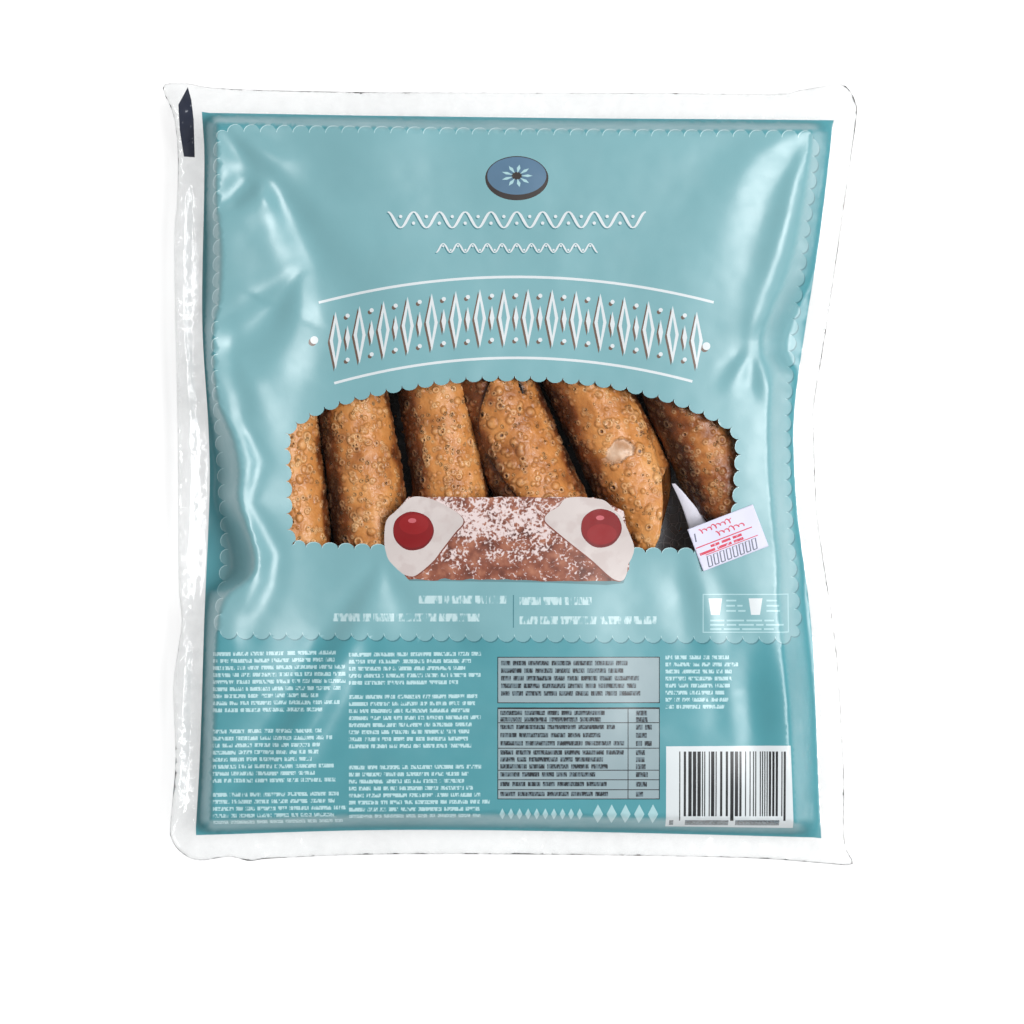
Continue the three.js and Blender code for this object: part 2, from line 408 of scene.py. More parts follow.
    def inside(self, x: Array, y: Array) -> tuple[Array, ...]:
        """How far points lie inside each seal line."""
        left, right, bottom, top = self.seals
        return x - through(left, y), through(right, y) - x, y - through(bottom, x), through(top, x) - y

    def flange(self, x: Array, y: Array) -> Array:
        """Height of the flange's middle, with its sealing ribs and fine crinkles."""
        wave = 2 * math.pi / self.flange_wave_length
        droop = self.flange_wave * np.sin((0.6 * x + y) * wave) * np.cos(x * wave / 2)
        inside = self.inside(x, y)
        outside = smooth_step(0.6, -0.6, np.minimum.reduce(inside))
        ribs = self.rib_height * np.cos(2 * math.pi * inside[3] / self.rib_pitch)
        ribs = ribs * smooth_step(0.4, -0.4, inside[3] + 0.8)
        crinkles = uneven(self.crinkle, self.flange_unevenness, x, y)
        return self.flange_height + droop + outside * (ribs + crinkles + self.left_roll(inside[0], y))

    def left_roll(self, inside: Array, y: Array) -> Array:
        """A soft roll of film along the left flange, pinched flat below the middle."""
        off = (inside + self.roll_outside) / self.roll_radius
        pinch = 1 - 0.85 * np.exp(-(((y - self.pinch[0]) / self.pinch[1]) ** 2))
        fade = smooth_step(-104, -92, y) * smooth_step(90, 76, y)
        along = 0.8 + 0.3 * self.ripple.at(y / 9.0, y * 0.0 + 3.5)
        return self.roll_height * pinch * fade * along * np.sqrt(np.clip(1 - off**2, 0.0, 1.0))

    def climb(self, x: Array, y: Array) -> Array:
        """0 at the seals, 1 where the upper film has reached its full height."""
        whole = 1.0
        sides = zip(self.inside(x, y), self.shoulders, (y, y, x, x), self.ramps, self.softness)
        for inside, line, place, run, soft in sides:
            shoulder = through(line, place)
            steep = np.clip((inside - shoulder) / np.minimum(shoulder, self.steepest_run) + 1, 0.0, 1.0)
            steep = steep * steep * (2.2 - 1.2 * steep)
            gentle = np.sin(np.clip(inside / (shoulder + run * 0.8), 0.0, 1.0) * math.pi / 2)
            whole = whole * ((1 - soft) * steep + soft * gentle)
        return whole

    def top(self, x: Array, y: Array) -> Array:
        """Height of the upper film."""
        crown = self.crown_height - self.crown_fall * ((x / 95) ** 2 + (y / 110) ** 2) / 2
        nearest = np.minimum(*(np.abs(y - join) for join in self.row_joins))
        crown = crown - self.row_sag * np.exp(-((nearest / self.row_sag_reach) ** 2))
        relief = sum(facet_lift(facet, x, y) for facet in self.facets)
        relief = relief + uneven(self.ripple, self.broad_unevenness, x, y)
        relief = relief + uneven(self.crinkle, self.fine_unevenness, x, y)
        ceiling = self.crown_height + self.headroom
        full = crown + relief
        full = np.where(full > ceiling - 1, ceiling - np.exp(ceiling - 1 - full), full)
        base = self.flange(x, y) + self.film_thickness / 2
        return base + (full - base) * self.climb(x, y)

    def bottom(self, x: Array, y: Array) -> Array:
        """Height of the lower film, flat on the floor inside its ramp."""
        lift = 1.0
        for inside in self.inside(x, y):
            lift = lift * np.sin(np.clip(inside / self.belly_ramp, 0.0, 1.0) * math.pi / 2)
        return (self.flange(x, y) - self.film_thickness / 2) * (1 - lift)


# ---------------------------------------------------------------- finishes


@dataclass(frozen=True)
class Wire:
    """An output of a shader node, which sums like a number."""

    nodes: Nodes
    socket: bpy.types.NodeSocket

    def __add__(self, other: Wire | float) -> Wire:
        """Sum of two values."""
        return self.nodes.maths("ADD", self, other)

    def __sub__(self, other: Wire | float) -> Wire:
        """Difference of two values."""
        return self.nodes.maths("SUBTRACT", self, other)

    def __mul__(self, other: Wire | float) -> Wire:
        """Product of two values."""
        return self.nodes.maths("MULTIPLY", self, other)


class Nodes:
    """Short ways to add nodes to a tree."""

    def __init__(self, tree: bpy.types.NodeTree, prefix: str = "") -> None:
        """Work on a tree whose node types start with a prefix."""
        self.tree, self.prefix = tree, prefix

    def add(self, kind: str, inputs: Inputs | None = None, **settings: object) -> bpy.types.Node:
        """Add a node, link or set its inputs, and set its properties."""
        node = self.tree.nodes.new(self.prefix + kind)
        for key, value in settings.items():
            setattr(node, key, value)
        for key, value in (inputs or {}).items():
            if isinstance(value, Wire):
                self.tree.links.new(value.socket, node.inputs[key])
            else:
                node.inputs[key].default_value = value
        return node

    def wire(self, kind: str, inputs: Inputs | None = None, out: str | int = 0, **settings: object) -> Wire:
        """Add a node and take one of its outputs."""
        return Wire(self, self.add(kind, inputs, **settings).outputs[out])

    def maths(self, operation: str, a: Wire, b: Wire | float) -> Wire:
        """One sum on two values."""
        return self.wire("Math", {0: a, 1: b}, operation=operation)


class Finish(Nodes):
    """Short ways to build one material."""

    def __init__(self, name: str) -> None:
        """Start a material with an empty tree."""
        self.material = bpy.data.materials.new(name)
        self.material.use_nodes = True
        super().__init__(self.material.node_tree, "ShaderNode")
        self.tree.nodes.clear()

    def place(self) -> Wire:
        """The object's own coordinates, in metres."""
        return self.wire("TexCoord", out="Object")

    def noise(self, scale: float, detail: float = 3.0, place: Wire | None = None, out: str = "Fac") -> Wire:
        """Noise from 0 to 1, scale features to a metre."""
        return self.wire("TexNoise", {"Scale": scale, "Detail": detail, "Vector": place or self.place()}, out)

    def parts(self, kind: str, whole: Wire) -> list[Wire]:
        """The three numbers of a colour or a place."""
        return [Wire(self, out) for out in self.add(kind, {0: whole}).outputs]

    def ramp(self, factor: Wire, *stops: tuple[float, Sequence[float]]) -> Wire:
        """Colour for a factor, through stops of a place and a colour."""
        node = self.add("ValToRGB", {"Fac": factor})
        points = node.color_ramp.elements
        while len(points) < len(stops):
            points.new(0.5)
        for point, (spot, colour) in zip(points, stops):
            point.position = spot
            point.color = (*colour, 1.0)
        return Wire(self, node.outputs["Color"])

    def spread(self, factor: Wire, low: float, high: float, start: float = 0.0, end: float = 1.0) -> Wire:
        """Spread a factor between start and end over low to high."""
        limits = {"From Min": start, "From Max": end, "To Min": low, "To Max": high}
        return self.wire("MapRange", {"Value": factor, **limits}, "Result", clamp=True)

    def blend(self, factor: Wire, a: Wire | Sequence[float], b: Wire | Sequence[float]) -> Wire:
        """Mix two colours."""
        a, b = (value if isinstance(value, Wire) else (*value, 1.0) for value in (a, b))
        return self.wire("Mix", {0: factor, 6: a, 7: b}, 2, data_type="RGBA")

    def bump(self, height: Wire, distance_mm: float) -> Wire:
        """Normal of a bumped surface."""
        return self.wire("Bump", {"Distance": distance_mm * MM, "Height": height}, "Normal")

    def shown(self, shader: Wire) -> Material:
        """The material, showing a shader."""
        self.add("OutputMaterial", {"Surface": shader})
        return self.material

    def solid(self, colour: Wire, **more: Wire | float) -> Material:
        """The material with a principled surface, its other inputs given by name."""
        inputs = {"Base Color": colour} | {key.replace("_", " "): value for key, value in more.items()}
        return self.shown(self.wire("BsdfPrincipled", inputs))


def linear(red: int, green: int, blue: int) -> tuple[float, ...]:
    """Turn a display colour of 0 to 255 into the linear colour that a shader takes."""
    shares = [c / 255 for c in (red, green, blue)]
    return tuple(s / 12.92 if s <= 0.04045 else ((s + 0.055) / 1.055) ** 2.4 for s in shares)


@dataclass(frozen=True)
class PrintedFilm:
    """Glossy film with opaque print on its inner face.

    The tone wanders by the mottle's share. A grain is a second colour that shows through in
    specks: their features to a metre, the share that they cover and how much taller than wide.
    """

    name: str
    colour: Shade
    mottle: float = 0.05
    roughness: float = 0.33
    grain: Shade | None = None
    specks: Point = (900.0, 0.5)
    upright: float = 1.0

    def make(self) -> Material:
        """Build the material."""
        n = Finish(self.name)
        ink = linear(*self.colour)
        low, high = (tuple(min(1.0, c * (1 + side * self.mottle)) for c in ink) for side in (-1, 1))
        colour = n.ramp(n.noise(38.0, 4.0), (0.3, low), (0.7, high))
        if self.grain is not None:
            tall = n.wire("Mapping", {"Vector": n.place(), "Scale": (1.0, 1.0 / self.upright, 1.0)})
            edge = 1 - self.specks[1]
            share = n.spread(n.noise(self.specks[0], 4.0, tall), 0.0, 1.0, edge - 0.06, edge + 0.06)
            colour = n.blend(share, colour, linear(*self.grain))
        wear = n.spread(n.noise(210.0, 4.0), self.roughness - 0.03, self.roughness + 0.05, 0.3, 0.7)
        return n.solid(colour, Roughness=wear, Normal=n.bump(n.noise(110.0, 4.0), 0.06), IOR=1.55)


@dataclass(frozen=True)
class PicturedPastry:
    """Print of fried crust with curls of sugar, thickest above the middle of the picture.

    The crust goes from its darkest to its lightest colour; the levels are how much sugar lies at
    a share of the picture's height, which spans from low to high on the pack.
    """

    name: str
    crust: tuple[Shade, ...] = ((86, 40, 28), (134, 74, 54), (172, 112, 86))
    sugar: Shade = (222, 204, 202)
    levels: Stations = (
        (0.0, 0.16), (0.2, 0.24), (0.36, 0.42), (0.44, 0.32), (0.56, 0.64), (0.8, 0.70), (1.0, 0.44),
    )  # fmt: skip
    low: float = -31.6
    high: float = -7.0

    def make(self) -> Material:
        """Build the material."""
        n = Finish(self.name)
        share = n.spread(n.parts("SeparateXYZ", n.place())[1], 0.0, 1.0, self.low * MM, self.high * MM)
        crust = n.ramp(n.noise(260.0, 4.0), *((0.30 + 0.2 * k, linear(*c)) for k, c in enumerate(self.crust)))
        cover = n.ramp(share, *((spot, (level,) * 3) for spot, level in self.levels))
        off = n.maths("ABSOLUTE", n.noise(430.0, 1.0) - 0.5, 0.0)
        curls = n.spread(off, 0.20, 0.0, 0.0, 0.07)
        flakes = n.noise(1250.0) + n.noise(210.0, 2.0) * 0.6 + curls + cover * 0.55
        colour = n.blend(n.spread(flakes, 0.0, 1.0, 1.08, 1.24), crust, linear(*self.sugar))
        return n.solid(colour, Roughness=0.34, IOR=1.55)


@dataclass(frozen=True)
class ClearFilm:
    """Clear film: what is behind shows, with gloss on top and a faint haze.

    The edge haze is added where the film is seen aslant.
    """

    name: str
    haze: float
    edge_haze: float
    gloss: float

    def make(self) -> Material:
        """Build the material."""
        n = Finish(self.name)
        crinkle = {"Normal": n.bump(n.noise(300.0, 4.0), 0.12)}
        clear = n.wire("BsdfTransparent", {"Color": (0.985, 0.99, 0.99, 1.0)})
        milk = n.wire("BsdfPrincipled", {"Base Color": (0.93, 0.93, 0.94, 1.0), "Roughness": 0.4, **crinkle})
        aslant = n.wire("LayerWeight", {"Blend": 0.35, **crinkle}, "Facing") * self.edge_haze
        share = n.spread(n.noise(150.0), 0.55 * self.haze, 1.45 * self.haze, 0.3, 0.7) + aslant
        body = n.wire("MixShader", {0: share, 1: clear, 2: milk})
        mirror = n.wire("BsdfAnisotropic", {"Roughness": 0.09, **crinkle})
        weight = n.wire("Fresnel", {"IOR": 1.5, **crinkle}) * self.gloss
        return n.shown(n.wire("MixShader", {0: weight, 1: body, 2: mirror}))


# ---------------------------------------------------------------- print


class Ink(Enum):
    """What a stretch of the upper film shows."""

    CLEAR = ClearFilm("clear_flange_film", 0.10, 0.2, 1.1)
    WINDOW = ClearFilm("clear_window_film", 0.0, 0.01, 0.22)
    FIELD = PrintedFilm("teal_field_print", (78, 148, 158), 0.06)
    PANEL = PrintedFilm("aqua_panel_print", (120, 168, 175), 0.04)
    RIM_LIGHT = PrintedFilm("scallop_light_print", (176, 210, 214), 0.03)
    RIM_DARK = PrintedFilm("scallop_shadow_print", (62, 120, 129), 0.04)
    SHADE = PrintedFilm("picture_shadow_print", (92, 132, 138), 0.04)
    WHITE = PrintedFilm("white_print", (212, 219, 222), 0.02)
    PALE = PrintedFilm("pale_print", (166, 203, 208), 0.04)
    BROWN = PrintedFilm("brown_shadow_print", (104, 84, 72), 0.08)
    SLATE = PrintedFilm("slate_oval_print", (84, 116, 142), 0.15)
    UMBER = PrintedFilm("umber_oval_print", (54, 47, 45), 0.15)
    TABLE = PrintedFilm("table_print", (146, 166, 172), 0.02)
    BLACK = PrintedFilm("black_print", (24, 26, 30), 0.10)
    WORDS = PrintedFilm("small_print_strokes", (80, 148, 158), 0.05, 0.32, (176, 212, 217), (1900, 0.55), 2.4)
    CAPTION = PrintedFilm("caption_strokes", (122, 170, 177), 0.04, 0.32, (188, 216, 220), (900.0, 0.52), 3.0)
    FIGURES = PrintedFilm("table_strokes", (104, 122, 130), 0.02, 0.32, (36, 42, 48), (1900.0, 0.50), 2.4)
    NAVY = PrintedFilm("navy_mark_print", (38, 44, 62), 0.20, 0.3, (196, 200, 208), (520.0, 0.30))
    PASTRY = PicturedPastry("pictured_pastry")
    CRUST = PrintedFilm("pictured_crust_edge", (124, 62, 46), 0.20)
    CREAM = PrintedFilm("pictured_cream", (205, 195, 192), 0.09, 0.32, (198, 186, 183), (240.0, 0.46))
    CHERRY_DARK = PrintedFilm("pictured_cherry_shade", (110, 2, 10), 0.08)
    CHERRY = PrintedFilm("pictured_cherry", (130, 0, 8), 0.12)
    CHERRY_WARM = PrintedFilm("pictured_cherry_glow", (144, 14, 20), 0.12)
    GLINT = PrintedFilm("pictured_glint", (196, 96, 104), 0.10)


class LabelInk(Enum):
    """What a stretch of the price label shows."""

    PAPER = PrintedFilm("label_paper", (216, 216, 236), 0.02, 0.6)
    RED = PrintedFilm("label_red_print", (206, 66, 92), 0.10, 0.6)
    SCRIPT = PrintedFilm("label_red_strokes", (214, 206, 226), 0.02, 0.6, (208, 62, 88), (1100.0, 0.60), 1.8)
    GREY = PrintedFilm("label_grey_print", (92, 98, 116), 0.15, 0.6)


@dataclass(frozen=True)
class Patch:
    """A closed outline filled with one ink; later patches cover earlier ones."""

    outline: list[Point]
    ink: Ink | LabelInk


def filled(ink: Ink | LabelInk, shapes: Iterable[list[Point]]) -> list[Patch]:
    """Patches of one ink."""
    return [Patch(shape, ink) for shape in shapes]


def scalloped(line: Sequence[Point], pitch: float, depth: float, steps: int = 7) -> list[Point]:
    """Put round lobes along a closed anticlockwise line, outwards where the depth is positive."""
    cusps = np.array(evenly(line, pitch))
    outline = []
    for a, b in zip(cusps, np.roll(cusps, -1, axis=0)):
        way = b - a
        normal = np.array([way[1], -way[0]]) / np.linalg.norm(way)
        for turn in (math.pi * step / steps for step in range(steps)):
            outline.append(a + way * (1 - math.cos(turn)) / 2 + normal * depth * math.sin(turn))
    return points_of(outline)


@dataclass(frozen=True)
class Lines:
    """A block of bars, set like lines of small print but with nothing to read.

    The bars have a shortest and a longest word and a weight; gaps are lines left blank, and lean
    is the rise of each line from left to right.
    """

    left: float
    top: float
    right: float
    bottom: float
    pitch: float = 2.05
    weight: float = 1.12
    word: Point = (1.6, 7.0)
    gaps: tuple[int, ...] = ()
    lean: float = 0.0
    space: float = 0.7

    def bars(self, seed: int) -> list[list[Point]]:
        """Outlines of all bars in the block."""
        rng = np.random.default_rng(seed)
        bars = []
        for line in range(max(1, round((self.top - self.bottom) / self.pitch))):
            if line in self.gaps:
                continue
            high = self.top - line * self.pitch
            end = self.right - rng.uniform(0.0, 0.22) * (self.right - self.left)
            x = self.left
            while x < end - self.word[0]:
                long = min(rng.uniform(*self.word), end - x)
                rise = self.lean * (x - self.left)
                bars.append(moved(rectangle(x, high - self.weight, x + long, high), (0, rise)))
                x += long + self.space
        return bars


def all_bars(blocks: Iterable[Lines], seed: int) -> list[list[Point]]:
    """Bars of several blocks, with seeds that count up."""
    return [bar for k, block in enumerate(blocks) for bar in block.bars(seed + k)]


def loop(sides: Sequence[Stations], step: float = 2.0) -> list[Point]:
    """Join the left, right, bottom and top side, given as stations, into one anticlockwise line."""
    left, right, bottom, top = sides
    line = []
    for side, start, end, upright in (
        (bottom, 0, -1, False), (right, 0, -1, True), (top, -1, 0, False), (left, -1, 0, True),
    ):  # fmt: skip
        first, last = side[start][0], side[end][0]
        run = np.linspace(first, last, max(2, round(abs(last - first) / step)), endpoint=False)
        line += zip(through(side, run), run) if upright else zip(run, through(side, run))
    return line


@dataclass(frozen=True)
class FacePrint:
    """Everything printed on the upper film, in millimetres from the pack's middle."""

    panel_sides: tuple[Stations, ...] = (
        (
            (-45.9, -84.0), (-28, -82.8), (-16.6, -82.5), (-2, -83.4), (21, -84.5), (36, -84.6), (99, -84.0),
        ),
        (
            (-47.4, 83.7), (-25.3, 81.6), (-2, 80.2), (21.4, 80.4), (38.9, 81.7), (53.4, 83.6), (72.4, 85.6),
            (87, 87.5), (97.4, 88.4),
        ),
        ((-84, -45.9), (-32, -46.5), (26.2, -47), (83.5, -47.4)),
        ((-84, 99.1), (-32, 98.6), (26.3, 97.9), (88.4, 97.4)),
    )  # fmt: skip
    window_line: Stations = (
        (-63.4, -20.9), (-60.9, -21.5), (-38.2, -22.3), (-2.9, -22.8), (39.7, -23.3), (58, -23.2),
        (63.2, -21.6), (65.3, -16.5), (66.2, -8.9), (66.8, 0.4), (67.1, 9.2), (65.8, 12.8), (54.1, 19.2),
        (41, 23.5), (27.5, 26.5), (13.4, 27.9), (-0.6, 28.4), (-14.7, 27.9), (-28.3, 25.9), (-42.2, 23.3),
        (-56.1, 18.6), (-63.6, 14), (-65.5, 11), (-65.1, -2.5), (-64.8, -16.4),
    )  # fmt: skip
    rim_offset: Point = (0.28, 0.34)

    def patches(self, shape: FilmShape) -> list[Patch]:
        """All printed patches, from the lowest to the topmost."""
        return [
            Patch(loop(shape.seals), Ink.FIELD),
            *self.panel_and_window(),
            *self.badge(),
            *self.title_band(),
            *self.pictured_cannolo(),
            *self.captions(),
            *self.sorting_box(),
            *self.small_print(),
            *self.table(),
            *self.bar_code(),
            self.cutting_mark(),
        ]

    def panel_and_window(self) -> list[Patch]:
        """The pale panel with its raised-looking scallops, and the clear window."""
        edge = scalloped(loop(self.panel_sides), 4.75, 2.25)
        opening = scalloped(rounded_path(self.window_line, 4), 4.71, -1.75)
        dx, dy = self.rim_offset
        return [
            Patch(moved(edge, (dx, -dy)), Ink.RIM_DARK),
            Patch(moved(edge, (-dx * 0.7, dy * 0.5)), Ink.RIM_LIGHT),
            Patch(edge, Ink.PANEL),
            Patch(moved(opening, (dx * 0.5, -dy * 0.5)), Ink.RIM_LIGHT),
            Patch(opening, Ink.WINDOW),
        ]

    def badge(self) -> list[Patch]:
        """An oval badge with a rosette, and two running ornaments under it."""
        x, y = 2.0, 85.7
        middle = (x, y + 0.7)
        leaf = ((1.2, 0.0), (3.2, -0.17), (4.6, 0.0), (3.2, 0.17))
        turns = np.radians(np.arange(0.0, 360.0, 40.0))
        leaves = ([(far, turn + aside) for far, aside in leaf] for turn in turns)
        petals = [
            [(x + far * math.cos(turn), y + 0.7 + 0.72 * far * math.sin(turn)) for far, turn in petal]
            for petal in leaves
        ]
        return [
            Patch(oval((x, y), (9.2, 6.45), 48), Ink.UMBER),
            Patch(oval(middle, (8.6, 5.5), 48), Ink.SLATE),
            Patch(oval(middle, (1.5, 1.1), 24), Ink.UMBER),
            *filled(Ink.PALE, petals),
            *self.running_wave((x, 73.6), 37.5, 2.3, 0.8),
            *self.running_wave((x, 65.4), 23.5, 1.3, 0.5),
        ]

    def running_wave(self, centre: Point, half: float, rise: float, wide: float) -> list[Patch]:
        """A wave that swells and tapers, with a pearl in every bay."""
        x, y = centre
        count = round(2 * half / (rise * 3.4))
        places = np.linspace(-half, half, count * 16 + 1)
        wave = rise * np.cos(places / half * count * math.pi)
        widths = wide * (0.45 + 0.55 * np.abs(np.sin(places / half * count * math.pi)))
        shapes = [band(list(zip(x + places, y + wave)), widths)]
        for i in range(1, 2 * count):
            low = rise * 0.42 * math.cos(math.pi * i)
            shapes.append(oval((x + (-half + i * half / count), y - low), (wide * 0.62, wide * 0.62), 10))
        return [
            *filled(Ink.RIM_DARK, (moved(shape, (-0.28, -0.32)) for shape in shapes)),
            *filled(Ink.WHITE, shapes),
        ]

    def title_band(self) -> list[Patch]:
        """Two bowed rules with a row of lozenges and pearls between them."""
        upper = lambda x: 57.0 - 7.4 * ((x - 1.8) / 57.4) ** 2
        lower = lambda x: 33.5 - 7.1 * ((x - 1.8) / 52.0) ** 2
        runs = ((upper, np.linspace(-55.6, 59.2, 40)), (lower, np.linspace(-51.1, 53.0, 40)))
        rules = [band(list(zip(xs, bow(xs))), [0.75] * 40) for bow, xs in runs]
        shapes, hearts = [], []
        for i in range(31):
            x = 1.8 + (i - 15) * 3.5
            y = (upper(x) + lower(x)) / 2
            if i % 2 == 0:
                shapes.append(lozenge(x, y, 1.75, 8.4))
                hearts.append(lozenge(x, y, 0.8, 5.2))
            else:
                shapes += [oval((x, y + dy), (0.62, 0.62), 12) for dy in (-6.4, 6.4)]
                shapes.append(lozenge(x, y, 0.7, 3.6))
        shapes += [oval(spot, (1.15, 1.15), 16) for spot in ((-56.9, 38.7), (57.1, 36.9))]
        return [
            *filled(Ink.WHITE, rules),
            *filled(Ink.BROWN, (moved(shape, (-0.55, -0.6)) for shape in shapes)),
            *filled(Ink.WHITE, shapes),
            *filled(Ink.PANEL, hearts),
        ]

    def pictured_cannolo(self) -> list[Patch]:
        """The printed serving picture: a sugared shell filled with cream, a cherry at each end."""
        steps = np.linspace(0.0, 1.0, 60)
        bumps = Noise(5)
        top = [(-29.5 + 54.0 * t, -7.0 + 0.35 * float(bumps.at(t * 30, 1.5))) for t in steps]
        low = [(32.5 - 62.0 * t, -31.4 + 0.7 * (t - 0.2) + 0.5 * float(bumps.at(t * 24, 9.5))) for t in steps]
        body = [*top, (33.0, -11), (35.0, -22), (34.6, -28), *low, (-33.0, -27), (-34, -18), (-32, -10)]
        shade = [
            (-32.4, -27), (-29.2, -31.3), (-10, -31.5), (10, -31.8), (28, -32.5), (33.0, -32.0),
            (34.4, -28),
        ]  # fmt: skip
        creams = (
            (1, [
                (-28.2, -6.9), (-30.8, -8.7), (-33.4, -11.2), (-35.4, -13), (-36.3, -15.4), (-36.5, -20.3),
                (-36, -23.2), (-34.9, -25.7), (-31.5, -29), (-29.3, -29.9), (-27.1, -29.6), (-22.4, -25.7),
                (-19.8, -22.3), (-16, -17.4), (-13.6, -14.5), (-14.5, -12.2), (-18.9, -9.3), (-23.8, -7.2),
            ]),
            (-1, [
                (16, -7.5), (19.8, -6.9), (23.8, -7.3), (27.1, -7.8), (29.1, -9.3), (30.5, -11), (32.5, -13),
                (34.9, -18), (36.1, -21.5), (35.5, -24.4), (34.3, -26.7), (34, -29), (32.9, -31.1),
                (30.8, -31.1), (28.5, -29.6), (23.8, -25.3), (18.9, -21.4), (14, -17.4), (10.2, -13.9),
                (11.1, -11.6), (14, -9.8),
            ]),
        )  # fmt: skip
        patches = [Patch(shade, Ink.SHADE), Patch(body, Ink.PASTRY)]
        for side, line in creams:
            cream = rounded_path(line)
            patches += [Patch(moved(cream, (0.35 * side, -0.2)), Ink.CRUST), Patch(cream, Ink.CREAM)]
        for x, y, glow in ((-28.1, -16.8, -1.9), (26.5, -16.0, 1.7)):
            patches += [
                Patch(oval((x, y), (5.95, 5.65), 36, 0.012), Ink.CHERRY_DARK),
                Patch(oval((x - 0.05, y + 0.3), (5.7, 5.2), 36, 0.012), Ink.CHERRY),
                Patch(oval((x + 0.2, y - glow), (4.3, 2.9), 24), Ink.CHERRY_WARM),
                Patch(oval((x - 0.3, y + 3.0), (1.2, 0.7), 18), Ink.GLINT),
            ]
        return patches

    def captions(self) -> list[Patch]:
        """Two blocks of pale bars beside a fine divider."""
        blocks = (
            Lines(-26.5, -35.6, 3.8, -38.6, 3.0, 2.3, (3.0, 8.5)),
            Lines(-51.5, -40.8, 8.0, -44.0, 3.0, 2.3, (5.0, 13.0)),
            Lines(2.8, -36.0, 28.0, -39.0, 3.0, 2.3, (4.0, 9.0)),
            Lines(2.8, -41.6, 54.0, -45.0, 3.0, 2.3, (5.0, 12.0)),
        )
        bars = [bar for bar in all_bars(blocks, 40) if bar[0][0] > 0 or bar[1][0] < 0.4]
        return [*filled(Ink.CAPTION, bars), Patch(rectangle(0.85, -44.9, 1.15, -35.4), Ink.RIM_DARK)]

    def sorting_box(self) -> list[Patch]:
        """A fine outlined box with two small beakers and bars."""
        patches = [
            Patch(rectangle(56, -46.4, 81.3, -35.1), Ink.PALE),
            Patch(rectangle(56.3, -46.1, 81.0, -35.4), Ink.PANEL),
        ]
        for x in (57.7, 69.4):
            cup = [(x + 0.7, -41.2), (x + 3.3, -41.2), (x + 4.0, -36.4), (x, -36.4)]
            block = Lines(x + 5.2, -36.8, x + 11.0, -41.2, 1.5, 0.5, (1.5, 4.5))
            patches += [Patch(cup, Ink.WHITE), *filled(Ink.PALE, block.bars(int(x)))]
        rows = Lines(58.2, -42.6, 80.5, -46.2, 1.25, 0.5, (2.0, 6.0))
        return patches + filled(Ink.PALE, rows.bars(71))

    def small_print(self) -> list[Patch]:
        """Columns of fine pale bars on the lower field, and two rows of lozenges."""
        blocks = (
            Lines(-86.4, -52.0, -47.4, -102.6, gaps=(9, 10, 19), lean=0.012),
            Lines(-46.8, -52.2, -5.8, -101.6, gaps=(5, 14, 15), lean=0.008),
            Lines(45.2, -53.0, 66.5, -70.2),
        )
        rows = ((-2.2, 10, 2.5, 0.85, 1.75), (25.6, 5, 4.0, 1.5, 2.9))
        gems = [
            lozenge(start + step * i, -99.2, wide, tall)
            for start, count, step, wide, tall in rows
            for i in range(count)
        ]
        return [*filled(Ink.WORDS, all_bars(blocks, 90)), *filled(Ink.PALE, gems)]

    def table(self) -> list[Patch]:
        """A pale two-part table with black rules and dark bars."""
        left, divider, right, rule = -3.4, 34.2, 43.3, 0.24
        head = (-66.6, -53.6)
        lines = (-94.6, -91.9, -89.0, -86.2, -79.8, -72.4, -68.3)
        rows = list(zip(lines, lines[1:]))
        patches = [
            Patch(rectangle(left - rule, head[0] - rule, right + rule, head[1] + rule), Ink.BLACK),
            Patch(rectangle(left, head[0], right, head[1]), Ink.TABLE),
            Patch(rectangle(left - rule, lines[0] - rule, right + rule, lines[-1] + rule), Ink.BLACK),
        ]
        blocks = [Lines(left + 0.8, head[1] - 0.9, right - 0.6, head[0], 2.2, 1.35, (2.4, 8.0))]
        for low, high in rows:
            patches += [
                Patch(rectangle(left, low, divider, high - rule), Ink.TABLE),
                Patch(rectangle(divider + rule, low, right, high - rule), Ink.TABLE),
            ]
            pitch = (high - low - 0.3) / max(1, round((high - low) / 2.2))
            blocks += [
                Lines(left + 0.6, high - 0.7, divider - 0.6, low + 0.1, pitch, 1.3, (2.4, 9.0)),
                Lines(divider + 2.4, high - 0.7, right - 1.6, low + 0.1, pitch, 1.45, (1.8, 3.6)),
            ]
        return patches + filled(Ink.FIGURES, all_bars(blocks, 120))

    def bar_code(self) -> list[Patch]:
        """A white box with black upright bars of uneven width."""
        box = [(45.4, -79.4), (45.4, -103.2), (82.6, -103.6), (81.6, -79.2)]
        rng = np.random.default_rng(77)
        module, x, end = 0.33, 49.2, 80.2
        bars = []
        while x < end - module:
            wide = module * rng.choice([1, 1, 2, 3])
            long = -101.2 if x < 50.2 or abs(x - 64.6) < 0.7 or x > 79.2 else -99.8
            wide = min(wide, end - x)
            bars.append(rectangle(x, long, x + wide, -80.9))
            x += wide + module * rng.choice([1, 1, 2, 3])
        figures = ((46.4, 1.2), (51.0, 12.6), (65.6, 12.8))
        under = [rectangle(x, -102.7, x + wide, -101.0) for x, wide in figures]
        return [Patch(box, Ink.WHITE), *filled(Ink.BLACK, bars), *filled(Ink.FIGURES, under)]

    def cutting_mark(self) -> Patch:
        """The dark registration strip on the flange by the head's left corner."""
        strip = [
            (-94.4, 113.2), (-97.2, 108.1), (-96.8, 100.7), (-95.6, 92.9), (-92.4, 92.7), (-92.7, 103.7),
            (-93.4, 109.5),
        ]  # fmt: skip
        return Patch(strip, Ink.NAVY)


# ---------------------------------------------------------------- printed sheets


